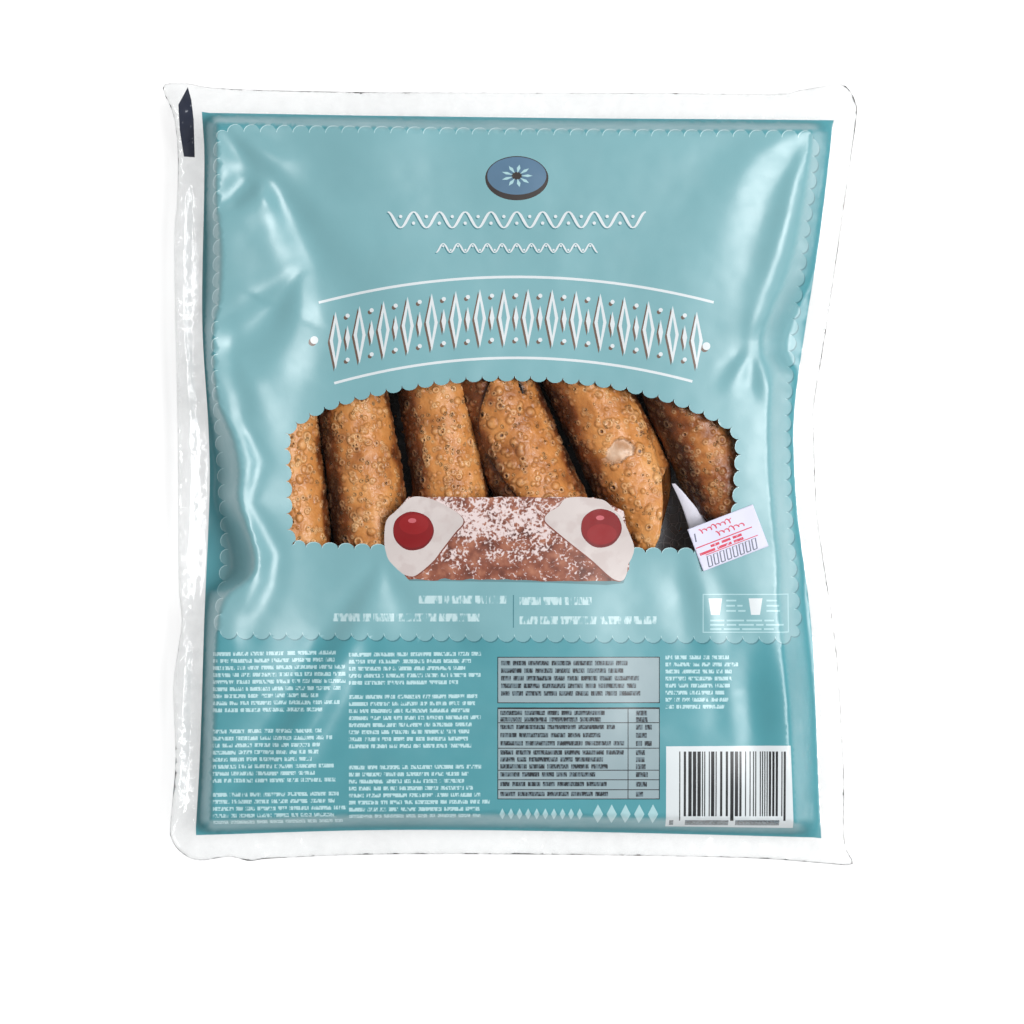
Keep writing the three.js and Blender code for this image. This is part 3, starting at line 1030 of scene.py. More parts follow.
class Spots:
    """Many places on a plane, sorted so that a loop finds those inside it quickly."""

    def __init__(self, x: Array, y: Array) -> None:
        """Sort the places from low to high."""
        self.order = np.argsort(y)
        self.x, self.y = x[self.order], y[self.order]

    def within(self, loop: list[Point]) -> Array:
        """Whether each place lies inside a closed loop, as a row of true and false."""
        winding = np.zeros(len(self.x), dtype=int)
        for (x0, y0), (x1, y1) in zip(loop, loop[1:] + loop[:1]):
            start, end = np.searchsorted(self.y, (min(y0, y1), max(y0, y1)))
            if start < end:
                reach = x0 + (x1 - x0) * (self.y[start:end] - y0) / (y1 - y0)
                winding[start:end] += np.where(self.x[start:end] < reach, 1 if y1 > y0 else -1, 0)
        inside = np.zeros(len(self.x), dtype=bool)
        inside[self.order] = winding != 0
        return inside


class DrapedSheet:
    """A flat layout of patches cut into triangles, to be draped over a surface."""

    def __init__(self, outline: list[Point], patches: list[Patch], pitch: float, seed: int) -> None:
        """Cut the outline and the patches, with free corners a pitch apart inside."""
        loops = [outline] + [self.split(patch.outline, pitch * 0.85) for patch in patches]
        corners = [corner for loop in loops for corner in loop]
        cuts, start = [], 0
        for loop in loops:
            ring = list(range(start, start + len(loop)))
            cuts += zip(ring, ring[1:] + ring[:1])
            start += len(loop)
        corners += self.free_corners(outline, corners, pitch, seed)
        made = delaunay_2d_cdt([Vector(corner) for corner in corners], cuts, [], 0, 1e-4, True)
        places, _, triangles, origins = made[:4]
        places, triangles = np.array(places, dtype=float), np.array(triangles)
        spots = Spots(*places[triangles].mean(axis=1).T)
        kept = spots.within(outline)
        owners = np.zeros(len(triangles), dtype=int)
        for number, patch in enumerate(patches, start=1):
            owners[spots.within(patch.outline)] = number
        triangles = triangles[kept]
        used = np.unique(triangles)
        renumber = np.full(len(places), -1)
        renumber[used] = np.arange(len(used))
        self.places = places[used]
        self.triangles = renumber[triangles]
        self.owners = owners[kept]
        of_input = {given: i for i, group in enumerate(origins) for given in group}
        self.edge = [int(renumber[of_input[i]]) for i in range(len(outline))]

    def turned(self, upwards: bool) -> list[list[int]]:
        """The triangles, their corners in the order that makes them face up or down."""
        a, b, c = (self.places[self.triangles[:, k]] for k in range(3))
        turn = (b - a)[:, 0] * (c - a)[:, 1] - (b - a)[:, 1] * (c - a)[:, 0]
        triangles = self.triangles.copy()
        wrong = (turn > 0) != upwards
        triangles[wrong] = triangles[wrong][:, ::-1]
        return triangles.tolist()

    @staticmethod
    def split(loop: list[Point], step: float) -> list[Point]:
        """Cut long stretches of a loop so that it can bend with the film."""
        points: list[Point] = []
        for (x0, y0), (x1, y1) in zip(loop, loop[1:] + loop[:1]):
            cuts = max(1, math.ceil(math.dist((x0, y0), (x1, y1)) / step))
            points += [(x0 + (x1 - x0) * k / cuts, y0 + (y1 - y0) * k / cuts) for k in range(cuts)]
        return points

    @staticmethod
    def free_corners(outline: list[Point], taken: list[Point], pitch: float, seed: int) -> list[Point]:
        """Scattered corners inside the outline that keep clear of the cut lines."""
        edge = np.array(outline)
        low, high = edge.min(axis=0), edge.max(axis=0)
        rows = np.arange(low[1], high[1], pitch * 0.87)
        xs, ys = np.meshgrid(np.arange(low[0], high[0], pitch), rows)
        xs = xs + (np.arange(len(rows)) % 2)[:, None] * pitch / 2
        rng = np.random.default_rng(seed)
        xs, ys = ((grid + rng.uniform(-0.14, 0.14, xs.shape) * pitch).ravel() for grid in (xs, ys))
        within = Spots(xs, ys).within(outline)
        tree = kdtree.KDTree(len(taken))
        for i, (x, y) in enumerate(taken):
            tree.insert((x, y, 0.0), i)
        tree.balance()
        spots = zip(xs[within], ys[within])
        return [(float(x), float(y)) for x, y in spots if tree.find((x, y, 0.0))[2] > pitch * 0.48]


def printed_body(
    name: str,
    edge: list[Point],
    patches: list[Patch],
    inks: type[Enum],
    cuts: Iterable[tuple[float, int]],
    drapes: tuple[Drape, Drape],
) -> Piece:
    """Close a printed upper and a bare lower sheet into one body at their common edge.

    Args:
        name: The piece's name.
        edge: Common edge of both sheets.
        patches: Print on the upper sheet; all the rest takes the first ink.
        inks: The inks, whose finishes the piece gets.
        cuts: Pitch and seed of the upper and of the lower sheet.
        drapes: What turns flat places of each sheet into corners on the pack.

    Returns:
        The piece.
    """
    upper, lower = (DrapedSheet(edge, cut, *how) for cut, how in zip((patches, []), cuts))
    corners = [drape(*sheet.places.T) for sheet, drape in zip((upper, lower), drapes)]
    start = len(corners[0])
    faces = upper.turned(upwards=True)
    faces += [[start + i for i in face] for face in lower.turned(upwards=False)]
    rims = list(zip(upper.edge, lower.edge))
    faces += [[b, a, start + c, start + d] for (a, c), (b, d) in zip(rims, rims[1:] + rims[:1])]
    kinds = list(inks)
    slots = [0 if own == 0 else kinds.index(patches[own - 1].ink) for own in upper.owners]
    slots += [0] * (len(faces) - len(slots))
    return plain_mesh(name, np.concatenate(corners), faces, [ink.value.make() for ink in kinds], slots)


@dataclass
class FilmBag:
    """The film bag: printed upper film and clear lower film, sealed at a flange."""

    shape: FilmShape
    artwork: FacePrint = field(default_factory=FacePrint)
    edge_line: Stations = (
        (-99.2, -107.1), (-96.8, -110.7), (-91.5, -113.4), (-82.2, -112.3), (-76.2, -113.6), (-68.9, -112.8),
        (-32.3, -111.6), (32.3, -112.0), (70.4, -112.8), (90.6, -114.2), (100.4, -114.7), (98.6, -110.2),
        (97.9, -104.0), (97.9, -88.4), (96.0, -54.7), (93.7, -37.1), (90.0, -10.7), (89.1, 12.8),
        (89.4, 21.8), (92.5, 40.6), (99.9, 91.9), (101.7, 105.3), (101.3, 108.9), (99.6, 112.4),
        (96.2, 114.2), (85.0, 112.4), (76.2, 111.3), (32.3, 111.6), (-32.3, 111.7), (-80.6, 112.6),
        (-93.8, 114.2), (-97.5, 114.4), (-101.5, 113.9), (-101.2, 111.0), (-98.8, 105.4), (-97.4, 94.9),
        (-97.6, 80.0), (-98.5, 65.5), (-97.4, 9.8), (-97.2, -30.0), (-96.2, -43.0), (-97.4, -52.0),
        (-98.8, -63.5), (-98.0, -84.0), (-99.6, -103.1),
    )  # fmt: skip

    def build(self) -> Piece:
        """Make the bag as one closed mesh."""
        edge = evenly(rounded_path(self.edge_line, 4), 1.4)
        top = lambda x, y: np.column_stack([x, y, self.shape.top(x, y)])
        bottom = lambda x, y: np.column_stack([x, y, self.shape.bottom(x, y)])
        patches = self.artwork.patches(self.shape)
        return printed_body("film_bag", edge, patches, Ink, ((1.1, 3), (2.2, 4)), (top, bottom))


@dataclass
class PriceLabel:
    """A small paper sticker on the film, printed with rules and slanted strokes."""

    shape: FilmShape
    width: float = 20.4
    height: float = 13.0
    centre: Point = (63.4, -18.8)
    turn: float = 21.0
    rest: float = 0.08
    paper: float = 0.16
    curl: float = 0.7

    def build(self) -> Piece:
        """Make the label as one closed thin body."""
        w, h = self.width / 2, self.height / 2
        edge = evenly(rectangle(-w, -h, w, h), 0.5)
        up = lambda x, y: self.over_film(x, y, self.rest + self.paper)
        down = lambda x, y: self.over_film(x, y, self.rest)
        cuts = ((0.5, 6), (0.8, 7))
        return printed_body("price_label_paper", edge, self.print(), LabelInk, cuts, (up, down))

    def over_film(self, x: Array, y: Array, rise: float) -> Array:
        """Places on the pack of the label's own places, a rise above the film."""
        turn = math.radians(self.turn)
        px = self.centre[0] + x * math.cos(turn) - y * math.sin(turn)
        py = self.centre[1] + x * math.sin(turn) + y * math.cos(turn)
        corner = smooth_step(9.0, 0.0, np.hypot(x + self.width / 2, y + self.height / 2))
        ripple = 0.10 * (1 + np.sin(x * 0.55 + 1.2) * np.sin(y * 0.4))
        return np.column_stack([px, py, self.shape.top(px, py) + rise + ripple + self.curl * corner**2])

    def print(self) -> list[Patch]:
        """Rules, bars and strokes, with nothing to read."""
        rules = [rectangle(-9.8, 0.30, 7.6, 0.62), rectangle(-7.9, -2.5, 8.4, -2.25)]
        for left, right, y, tall in ((-7.2, 2.8, 4.5, 0.75), (-2.8, 5.8, 2.2, 0.8)):
            x = np.linspace(left, right, round((right - left) / tall * 9))
            turns = (x - left) / tall * 3.3
            swing = y + tall * np.cos(turns) * (0.7 + 0.3 * np.cos(turns / 3.1))
            rules.append(band(list(zip(x + 0.45 * tall * np.sin(turns), swing)), 0.30 + 0.12 * np.sin(turns)))
        script = (
            Lines(-5.6, -0.1, 5.6, -1.0, 0.9, 0.75, (1.8, 4.4)),
            Lines(-9.4, -1.3, 9.4, -2.1, 0.8, 0.75, (2.4, 5.0)),
        )
        grey = [[(-9.3, 2.2), (-8.9, 2.2), (-8.5, 4.6), (-8.9, 4.6)]]
        for x in (-8.2 + 1.98 * i for i in range(8)):
            frame = [(x, -5.9), (x + 1.15, -5.9), (x + 1.7, -2.9), (x + 0.55, -2.9), (x, -5.9)]
            grey.append(band(frame, [0.36] * 5))
        return [
            *filled(LabelInk.RED, rules),
            *filled(LabelInk.SCRIPT, all_bars(script, 6)),
            *filled(LabelInk.GREY, grey),
        ]


# ---------------------------------------------------------------- the pastry


@dataclass(frozen=True)
class PastryFinish:
    """Fried, blistered dough: brown between the blisters, pale on their rims.

    The corner colours of "fry" hold burnt hollows, dark rings round blister feet and painted shade along
    lapped edges in red, raised rims and painted highlight on dome tops in green, and extra browning with
    painted shade on the flanks in blue; those of "torn" hold pale hollows in red and black holes painted as
    shade in green.
    """

    name: str = "fried_pastry"
    tones: tuple[tuple[float, Shade], ...] = (
        (0.06, (58, 26, 12)), (0.24, (134, 72, 32)), (0.46, (206, 136, 72)), (0.68, (234, 172, 106)),
    )  # fmt: skip
    crest: Shade = (255, 214, 160)
    scorch_and_shade: Shade = (58, 26, 10)
    cavity: tuple[tuple[float, Shade], ...] = ((0.35, (184, 142, 108)), (0.6, (226, 196, 170)))

    def make(self) -> Material:
        """Build the material."""
        n = Finish(self.name)
        (dark_marks, rim, brown), (pale, hole_shade, _) = (
            n.parts("SeparateColor", n.wire("VertexColor", layer_name=layer)) for layer in ("fry", "torn")
        )
        fine, patchy = n.noise(820.0), n.noise(230.0)
        # Darker with the blue channel: the shell's own browning and the painted flank shade.
        tone = n.noise(80.0) * 0.55 + patchy * 0.34 + fine * 0.10 - brown * 0.44
        colour = n.ramp(tone, *((spot, linear(*shade)) for spot, shade in self.tones))
        hollow, ring = self.rings(n)
        # Raised rims, and the painted highlight on dome tops, turn towards the crest colour.
        rims = n.maths("MAXIMUM", ring * 0.42, rim * 0.52)
        rims = rims * n.spread(brown, 1.0, 0.30, 0.1, 0.9) * n.spread(patchy, 0.35, 1.2, 0.35, 0.62)
        colour = n.blend(rims, colour, linear(*self.crest))
        # Burnt hollows, dark marks and the painted shade along lapped edges turn towards this dark brown.
        colour = n.blend(n.maths("MAXIMUM", hollow * 0.17, dark_marks), colour, linear(*self.scorch_and_shade))
        cavity = n.ramp(patchy, *((spot, linear(*shade)) for spot, shade in self.cavity))
        # Pale hollows show the cavity colours; black holes are painted shade for the dark inside of the tube.
        colour = n.blend(hole_shade, n.blend(pale, colour, cavity), (0.004, 0.003, 0.003))
        height = fine * 0.40 + ring * 0.8 + patchy * 1.3 - hollow * 0.55
        normal = n.bump(height * n.spread(pale, 1.0, 0.3), 0.52)
        return n.solid(colour, Roughness=n.spread(fine, 0.28, 0.50, 0.35, 0.65), Normal=normal, IOR=1.45)

    @staticmethod
    def rings(n: Finish) -> tuple[Wire, Wire]:
        """Small burst blisters of mixed size: their hollows and the pale rings round them."""
        warp = n.noise(640.0, 2.0, out="Color")
        shift = n.wire("VectorMath", {0: warp, "Scale": 0.0006}, operation="SCALE")
        bent = n.wire("VectorMath", {0: n.place(), 1: shift}, operation="ADD")
        cells = n.add("TexVoronoi", {"Scale": 560.0, "Vector": bent}).outputs
        kind, size, _ = n.parts("SeparateColor", Wire(n, cells["Color"]))
        chosen = n.spread(kind, 0.0, 1.0, 0.52, 0.56)
        off = n.maths("DIVIDE", Wire(n, cells["Distance"]), n.spread(size, 0.15, 0.40))
        ring = n.spread(off, 0.0, 1.0, 0.50, 0.72) * n.spread(off, 1.0, 0.0, 0.84, 1.04)
        return n.spread(off, 1.0, 0.0, 0.30, 0.62) * chosen, ring * chosen


@dataclass(frozen=True)
class Tear:
    """A place where the top layer of dough is broken away.

    The spot lies across to the right of the shell's middle and along to its head; it opens on a pale hollow
    or on a black one, the black painted shade for the dark inside of the tube; how strongly either shows is
    its shade.
    """

    spot: Point
    radii: Point
    depth: float
    pale: bool
    shade: float = 1.0


@dataclass
class CannoloShell:
    """One empty shell: an oval of dough rolled round a tube, one end lapped over the other.

    Attributes:
        lean: Turn of its length from +Y in degrees, its head going left.
        seam: Angle of the lapped edge round the tube, in degrees clockwise from the top.
        roll: 1 if the top layer reaches the seam clockwise, else -1.
        skew: Turn of the dough's oval against the tube, in degrees.
        brown: How much browner than its neighbours the shell is.
        taper: Growth of the radius from head to foot, as a share.
        head_cut: How far the head's mouth runs back on its right side, negative on its left.
        foot_cut: The same at the foot.
        domes: Share of the blisters that are whole.
        unpopped: Share of the blisters that are whole or only cracked.
        coarse: Size of the blisters against the usual.
        corner: How square the dough's oval is.
        overlap: How far round the tube the dough laps, in degrees.
        step: Where the upper layer climbs over the lower one, as shares across the dough.
        wobble: How far the wall swings in and out.
        flare: How far the mouths open.
    """

    name: str
    centre: Point
    lean: float
    seed: int
    seam: float = 180.0
    roll: int = 1
    skew: float = 0.0
    brown: float = 0.0
    taper: float = 0.0
    head_cut: float = 0.0
    foot_cut: float = 0.0
    domes: float = 0.42
    coarse: float = 1.0
    corner: float = 2.8
    tears: tuple[Tear, ...] = ()
    length: float = 58.0
    diameter: float = 22.6
    floor: float = 1.5
    wall: float = 2.0
    wobble: float = 0.50
    flare: float = 0.35
    unpopped: float = 0.86
    step: Point = (-0.74, -0.44)
    overlap: float = 62.0
    columns: int = 212
    rows: int = 200
    blisters: int = 1150

    def layout(self) -> tuple[Array, ...]:
        """Lay a grid of corners over the rolled dough.

        Returns:
            Angle round the tube in radians, place along it, share across the dough from -1 to 1
            at the lapped edge, and distance from the dough's edge.
        """
        whole = 360.0 + self.overlap
        across = np.linspace(-1.0, 1.0, 600)
        facing = np.cos(np.radians(self.seam + self.roll * (across - 1) / 2 * whole))
        density = 1.0 + 2.6 * smooth_step(-0.30, 0.35, facing)
        along = np.concatenate([[0.0], np.cumsum((density[1:] + density[:-1]) / 2)])
        across = np.interp(np.linspace(0.0, along[-1], self.columns), along, across)
        q, v = np.meshgrid(across, np.linspace(-1.0, 1.0, self.rows))
        ragged = Noise(self.seed).layered(q * 7 + 9, np.sign(v) * 3 + 4, 3)
        blunt = 0.22 + 0.78 * np.sqrt(np.clip(1 - np.abs(q) ** self.corner, 0.0, 1.0))
        half = self.length / 2 * blunt * (1 + 0.035 * ragged)
        reach = math.radians(whole / 2) * self.diameter / 2
        turn = math.radians(self.skew)
        sheet_x, sheet_z = q * reach, v * half
        arc = sheet_x * math.cos(turn) - sheet_z * math.sin(turn)
        z = sheet_x * math.sin(turn) + sheet_z * math.cos(turn)
        theta = math.radians(self.seam) + self.roll * (arc - reach * math.cos(turn)) / (self.diameter / 2)
        z = z * self.cut_back(np.sin(theta), z)
        return theta, z, q, np.minimum((1 - np.abs(v)) * half, (1 - np.abs(q)) * reach)

    def cut_back(self, side: Array, z: Array) -> Array:
        """Share of its length that the shell keeps where its mouths are cut aslant."""
        cut = np.where(z > 0, self.head_cut, self.foot_cut)
        share = np.clip((np.sign(cut) * side + 0.35) / 1.35, 0.0, 1.0)
        return 1 - np.abs(cut) / (self.length / 2) * share**2

    def build(self, finish: Material) -> Piece:
        """Make the shell as one closed wall of dough, at its place in the pack."""
        theta, z, q, edge = self.layout()
        wavy = Noise(self.seed + 500)
        lap = smooth_step(*self.step, q)
        covered = lap < 0.99
        radius = self.diameter / 2 - self.wall * 1.5 + (self.wall + 0.15) * lap
        radius = radius * (1 - self.taper * z / self.length)
        radius = radius + self.wobble * wavy.layered(theta * 1.9 + 20, z / 11 + 5, 3)
        radius = radius + self.flare * smooth_step(0.75, 1.0, np.abs(z) / (self.length / 2))
        swell, dark_marks, rim = self.blistering(theta, z)
        across = self.diameter / 2 * np.sin(theta)
        dent, pale, hole_shade = self.torn(across, z, (np.cos(theta) > 0) & (lap > 0.5))
        half_wall = self.wall / 2 * (0.40 + 0.60 * smooth_step(0.0, 1.8, edge))
        crust = swell * smooth_step(0.0, 1.2, edge) * (1 - np.maximum(pale, hole_shade)) - dent
        layers = [self.placed(far, theta, z) for far in (radius + half_wall + crust, radius - half_wall)]
        # Painted shade: both flanks darken by the way they face, eased on the under layer, which is browner;
        # it is stored with the shell's own browning.
        side = np.sin(theta) + 0.10 * wavy.layered(theta * 3 + 2, z / 6 + 40, 2)
        shadow = 0.90 * smooth_step(-0.32, -0.96, side) + 0.70 * smooth_step(0.80, 1.0, side)
        under = smooth_step(-0.30, -0.66, q) * covered
        brown = np.clip(self.brown + shadow * (1 - 0.7 * under) + 0.30 * under, 0.0, 1.0)
        # Painted shade: a dark line along the lapped edge, kept with the dark marks.
        dark_marks = np.maximum(dark_marks, 0.8 * self.lap_edge_shade(theta, z, q) * covered)
        shades = [dark_marks, rim, brown, pale, hole_shade]
        if self.roll > 0:
            layers, shades = ([grid[:, ::-1] for grid in grids] for grids in (layers, shades))
        places, faces = closed_skin(*layers)
        shell = plain_mesh(self.name, places, faces, [finish])
        table = np.zeros((len(places), 8))
        table[:, [3, 7]] = 1.0
        table[dark_marks.size :, 2] = 0.35
        for column, shade in zip((0, 1, 2, 4, 5), shades):
            table[: shade.size, column] = shade.ravel()
        store_shades(shell, "fry", table[:, :4])
        store_shades(shell, "torn", table[:, 4:])
        return shell

    def lap_edge_shade(self, theta: Array, z: Array, q: Array) -> Array:
        """Painted shade: a dark line on the under layer along the edge of the layer over it."""
        rim, rim_z, rim_q = (np.concatenate([g[0, ::-1], g[:, -1], g[-1]]) for g in (theta, z, q))
        lapped = rim_q > 0.45
        order = np.argsort(rim_z[lapped])
        edge = np.interp(z, rim_z[lapped][order], rim[lapped][order])
        off = self.roll * (theta - edge) + 2 * math.pi
        return np.exp(-(((np.degrees(off) - 1.5) / 5.0) ** 2)) * (q < -0.2)

    def placed(self, radius: Array, theta: Array, z: Array) -> Array:
        """Corners of the rolled dough at the shell's place on the pack."""
        side, high = radius * np.sin(theta), radius * np.cos(theta)
        lean = math.radians(self.lean)
        x = self.centre[0] + side * math.cos(lean) - z * math.sin(lean)
        y = self.centre[1] + side * math.sin(lean) + z * math.cos(lean)
        return np.stack([x, y, self.floor + self.diameter / 2 + high], axis=-1)

    def torn(self, side: Array, z: Array, upper: Array) -> tuple[Array, ...]:
        """Depth of the broken places, and where they are pale or painted black as shade."""
        dent, pale, hole_shade = (np.zeros_like(side) for _ in range(3))
        ragged = Noise(self.seed + 900)
        for tear in self.tears:
            dx, dz = side - tear.spot[0], z - tear.spot[1]
            turn = np.arctan2(dz, dx)
            off = np.hypot(dx / tear.radii[0], dz / tear.radii[1])
            off = off * (1 + 0.34 * ragged.layered(turn * 1.6 + 9, turn * 0 + 2, 3))
            share = smooth_step(1.03, 0.96, off) * upper
            dent = np.maximum(dent, share * tear.depth * (0.75 + 0.25 * smooth_step(0.2, 0.9, off)))
            shade = pale if tear.pale else hole_shade
            np.maximum(shade, share * tear.shade, out=shade)
        return dent, pale, hole_shade

    def blistering(self, theta: Array, z: Array) -> tuple[Array, ...]:
        """Height that the blisters add, how dark each corner is from popped eyes and dark rings round blister
        feet, and how pale from rims and the painted highlight on dome tops.
        """
        rng = np.random.default_rng(self.seed + 1000)
        arc = theta * self.diameter / 2
        swell, dark_marks, rim = (np.zeros_like(arc) for _ in range(3))
        low, high = arc.min(), arc.max()
        draw = rng.uniform(0.0, 1.0, self.blisters)
        sizes = self.coarse * (0.40 + 0.28 * draw + 0.55 * draw**8)
        kinds = rng.uniform(0.0, 1.0, self.blisters)
        order = np.argsort(-sizes)
        for size, kind in zip(sizes[order], kinds[order]):
            at = rng.uniform(low, high), rng.uniform(-0.5, 0.5) * self.length
            stretch = rng.uniform(0.85, 1.25)
            near = (np.abs(arc - at[0]) < size * 1.6) & (np.abs(z - at[1]) < size * 1.9)
            if not near.any():
                continue
            off = np.hypot(arc[near] - at[0], (z[near] - at[1]) / stretch) / size
            bump = np.sqrt(np.clip(1 - (off / 1.1) ** 2, 0.0, 1.0)) * size * 0.50
            ring = np.exp(-(((off - 0.80) / max(0.19, 0.17 / size)) ** 2))
            foot = 0.36 * np.exp(-(((off - 1.15) / 0.18) ** 2))
            if kind < self.domes:
                # Domes are paler towards their tops: painted highlight.
                rise, pale, dark = bump, smooth_step(0.9, 0.1, off) * 0.6, foot
            elif kind < self.unpopped:
                rise = ring * size * 0.38 + bump * 0.25
                pale, dark = ring, 0.34 * smooth_step(0.66, 0.25, off) + foot
            else:
                rise = ring * size * 0.42 - smooth_step(0.7, 0.3, off) * size * 0.4
                pale, dark = ring, 0.90 * smooth_step(0.60, 0.35, off) + foot
            swell[near] = np.where(np.abs(rise) > np.abs(swell[near]), rise, swell[near])
            rim[near] = np.maximum(rim[near], pale)
            dark_marks[near] = np.maximum(dark_marks[near] * (1 - pale), dark)
        return swell, dark_marks, rim


@dataclass
class ShellRows:
    """Three rows of shells lying head to head, the middle row seen in the window."""

    row_pitch: float = 60.0
    head_gap: float = 4.0
    shell_pitch: float = 25.8
    first: float = -64.5
    middle: tuple[CannoloShell, ...] = (
        CannoloShell("shell_middle_1", (-64.9, 2.0), 5.5, 31, 160, diameter=20.4),
        CannoloShell("shell_middle_2", (-43.4, 4.0), 9.0, 32, 175, brown=0.06, taper=0.12, diameter=21.6),
        CannoloShell("shell_middle_3", (-18.8, 4.5), 8.5, 33, 185, -1, brown=0.06, diameter=21.2),
        CannoloShell(
            "shell_middle_4", (1.0, 11.1), 23.0, 34, -34, -1, -19.0, 0.20, diameter=24.4, head_cut=-11.0,
            domes=0.72, coarse=1.25, corner=5.0,
            tears=(
                Tear((7.9, 11.9), (0.8, 2.4), 1.7, False),
                Tear((4.0, 13.7), (1.3, 1.5), 0.3, False, 0.3),
            ),
        ),
        CannoloShell(
            "shell_middle_5", (30.8, 9.0), 25.0, 35, 58, 1, -8.0, 0.02, diameter=23.8, length=64.0,
            head_cut=6.0, foot_cut=17.0, domes=0.5, coarse=1.1, corner=4.2,
            tears=(Tear((0.2, -2.7), (4.3, 3.1), 1.5, True),),
        ),
        CannoloShell("shell_middle_6", (56.6, 9.6), 24.0, 36, -112, -1, 9.0, 0.50, domes=0.2),
    )  # fmt: skip

    def build(self) -> list[Piece]:
        """Make all shells, named by row and place."""
        finish = PastryFinish().make()
        shells = [shell.build(finish) for shell in self.middle]
        rng = np.random.default_rng(8)
        places = (("head", self.row_pitch + self.head_gap, 70), ("foot", -self.row_pitch, 50))
        for row, shift, first_seed in places:
            for i in range(len(self.middle)):
                spot = (self.first + self.shell_pitch * i + rng.uniform(-0.5, 0.5), 4.0 + shift)
                shell = CannoloShell(
                    f"shell_{row}_{i + 1}", spot, rng.uniform(-3, 3), first_seed + i,
                    length=54.0, columns=64, rows=46, blisters=150,
                )  # fmt: skip
                shells.append(shell.build(finish))
        return shells


# ---------------------------------------------------------------- tray, strip, crumbs


@dataclass
class Tray:
    """A shallow dark tray with flared walls and pressed ribs, under the shells."""

    left: float = -77.0
    right: float = 73.0
    bottom: float = -93.4
    top: float = 93.0
    floor_height: float = 0.45
    wall_height: float = 7.4
    flare: float = 5.0
    thickness: float = 0.4
    rib_pitch: float = 9.0
    rib_height: float = 0.5
    squareness: float = 0.16
    around: int = 220

    def finish(self) -> Material:
        """Thin dark plastic with pale hairline scuffs, worn towards the right."""
        n = Finish("dark_tray_plastic")
        aslant = {"Rotation": (0.0, 0.0, 0.7), "Scale": (1.0, 0.12, 1.0)}
        turned = n.wire("Mapping", {"Vector": n.place(), **aslant})
        cells = {"Scale": 420.0, "Vector": n.place()}
        border = n.wire("TexVoronoi", cells, "Distance", feature="DISTANCE_TO_EDGE")
        hair = n.spread(border, 1.0, 0.0, 0.0, 0.05)
        streak = n.spread(n.noise(900.0, 3.0, turned), 0.0, 1.0, 0.60, 0.72)
        to_right = n.spread(n.parts("SeparateXYZ", n.place())[0], 0.10, 1.0, 0.032, 0.046)
        worn = n.spread(n.noise(60.0), 0.6, 1.0, 0.4, 0.65) * to_right
        scuff = (hair + streak) * worn
        colour = n.blend(worn, (0.010, 0.008, 0.007), (0.40, 0.41, 0.44))
        colour = n.blend(scuff, colour, (0.80, 0.80, 0.83))
        rough = n.spread(n.noise(240.0), 0.32, 0.6, 0.3, 0.7)
        return n.solid(colour, Roughness=rough, Normal=n.bump(scuff, 0.08), IOR=1.5)

    def build(self) -> Piece:
        """Make the tray as one closed thin wall."""
        turns = np.linspace(0.0, 2 * math.pi, self.around, endpoint=False)
        ways = np.cos(turns), np.sin(turns)
        round_x, round_y = (np.sign(way) * np.abs(way) ** self.squareness for way in ways)
        foot, rim = self.floor_height, self.floor_height + self.wall_height
        profile = [
            *((share, 0.0, foot) for share in np.linspace(0.04, 0.98, 46)),
            (1.0, 0.0, foot + 0.1),
            *((1.0, self.flare * t**0.9, foot + self.wall_height * t) for t in np.linspace(0.06, 1.0, 9)),
            (1.0, self.flare + 1.0, rim + 0.15),
            (1.0, self.flare + 1.5, rim - 0.3),
        ]
        rings = []
        for share, out, high in profile:
            x = (self.left + self.right) / 2 + ((self.right - self.left) / 2 * share + out) * round_x
            y = (self.bottom + self.top) / 2 + ((self.top - self.bottom) / 2 * share + out) * round_y
            rib = self.rib_height * 0.5 * (1 - np.cos(2 * math.pi * x / self.rib_pitch))
            rise = rib * smooth_step(1.0, 0.93, share * np.maximum(np.abs(round_x), np.abs(round_y)))
            rings.append(np.column_stack([x, y, high + rise * (out == 0)]))
        count, around = len(rings), self.around
        steps = [(j, (j + 1) % around) for j in range(around)]
        faces = [
            [i * around + j, (i + 1) * around + j, (i + 1) * around + k, i * around + k]
            for i in range(count - 1)
            for j, k in steps
        ]
        faces += [[count * around, j, k] for j, k in steps]
        places = np.concatenate([*rings, [rings[0].mean(axis=0)]])
        tray = plain_mesh("dark_tray", places, faces, [self.finish()])
        wall = tray.modifiers.new("wall", "SOLIDIFY")
        wall.thickness, wall.offset = self.thickness * MM, 1.0
        return applied(tray)


@dataclass
class PaleStrip:
    """A tapering pale strip that stands up from the tray between two shells."""

    left: tuple[tuple[float, float, float], ...] = (
        (47.2, -3.0, 17.5), (50.0, -9.2, 17.6), (52.4, -16.5, 16.8), (54.8, -25.0, 12.0), (57.0, -33.0, 3.4),
    )  # fmt: skip
    right: tuple[tuple[float, float, float], ...] = (
        (48.2, -3.0, 17.7), (51.8, -6.9, 18.0), (57.1, -13.9, 17.8), (60.8, -22.0, 13.4), (63.0, -32.0, 4.6),
    )  # fmt: skip
    thickness: float = 0.35

    def build(self) -> Piece:
        """Make the strip of smooth pale plastic as a closed thin wall."""
        spots = np.linspace(0.0, len(self.left) - 1.0, 40)
        left, right = (
            np.column_stack([through(list(enumerate(track)), spots) for track in zip(*side)])[:, None, :]
            for side in (self.left, self.right)
        )
        share = np.linspace(0.0, 1.0, 9)[None, :, None]
        upper = left * (1 - share) + right * share
        upper[..., 2] += 0.8 * np.sin(share[..., 0] * math.pi) * (spots[:, None] / spots[-1])
        lower = upper - np.array([0.0, 0.0, self.thickness])
        places, faces = closed_skin(upper[:, ::-1], lower[:, ::-1])
        n = Finish("pale_strip_plastic")
        tone = n.ramp(n.noise(90.0), (0.3, linear(214, 212, 226)), (0.7, linear(232, 230, 242)))
        return plain_mesh("pale_strip", places, faces, [n.solid(tone, Roughness=0.35)])


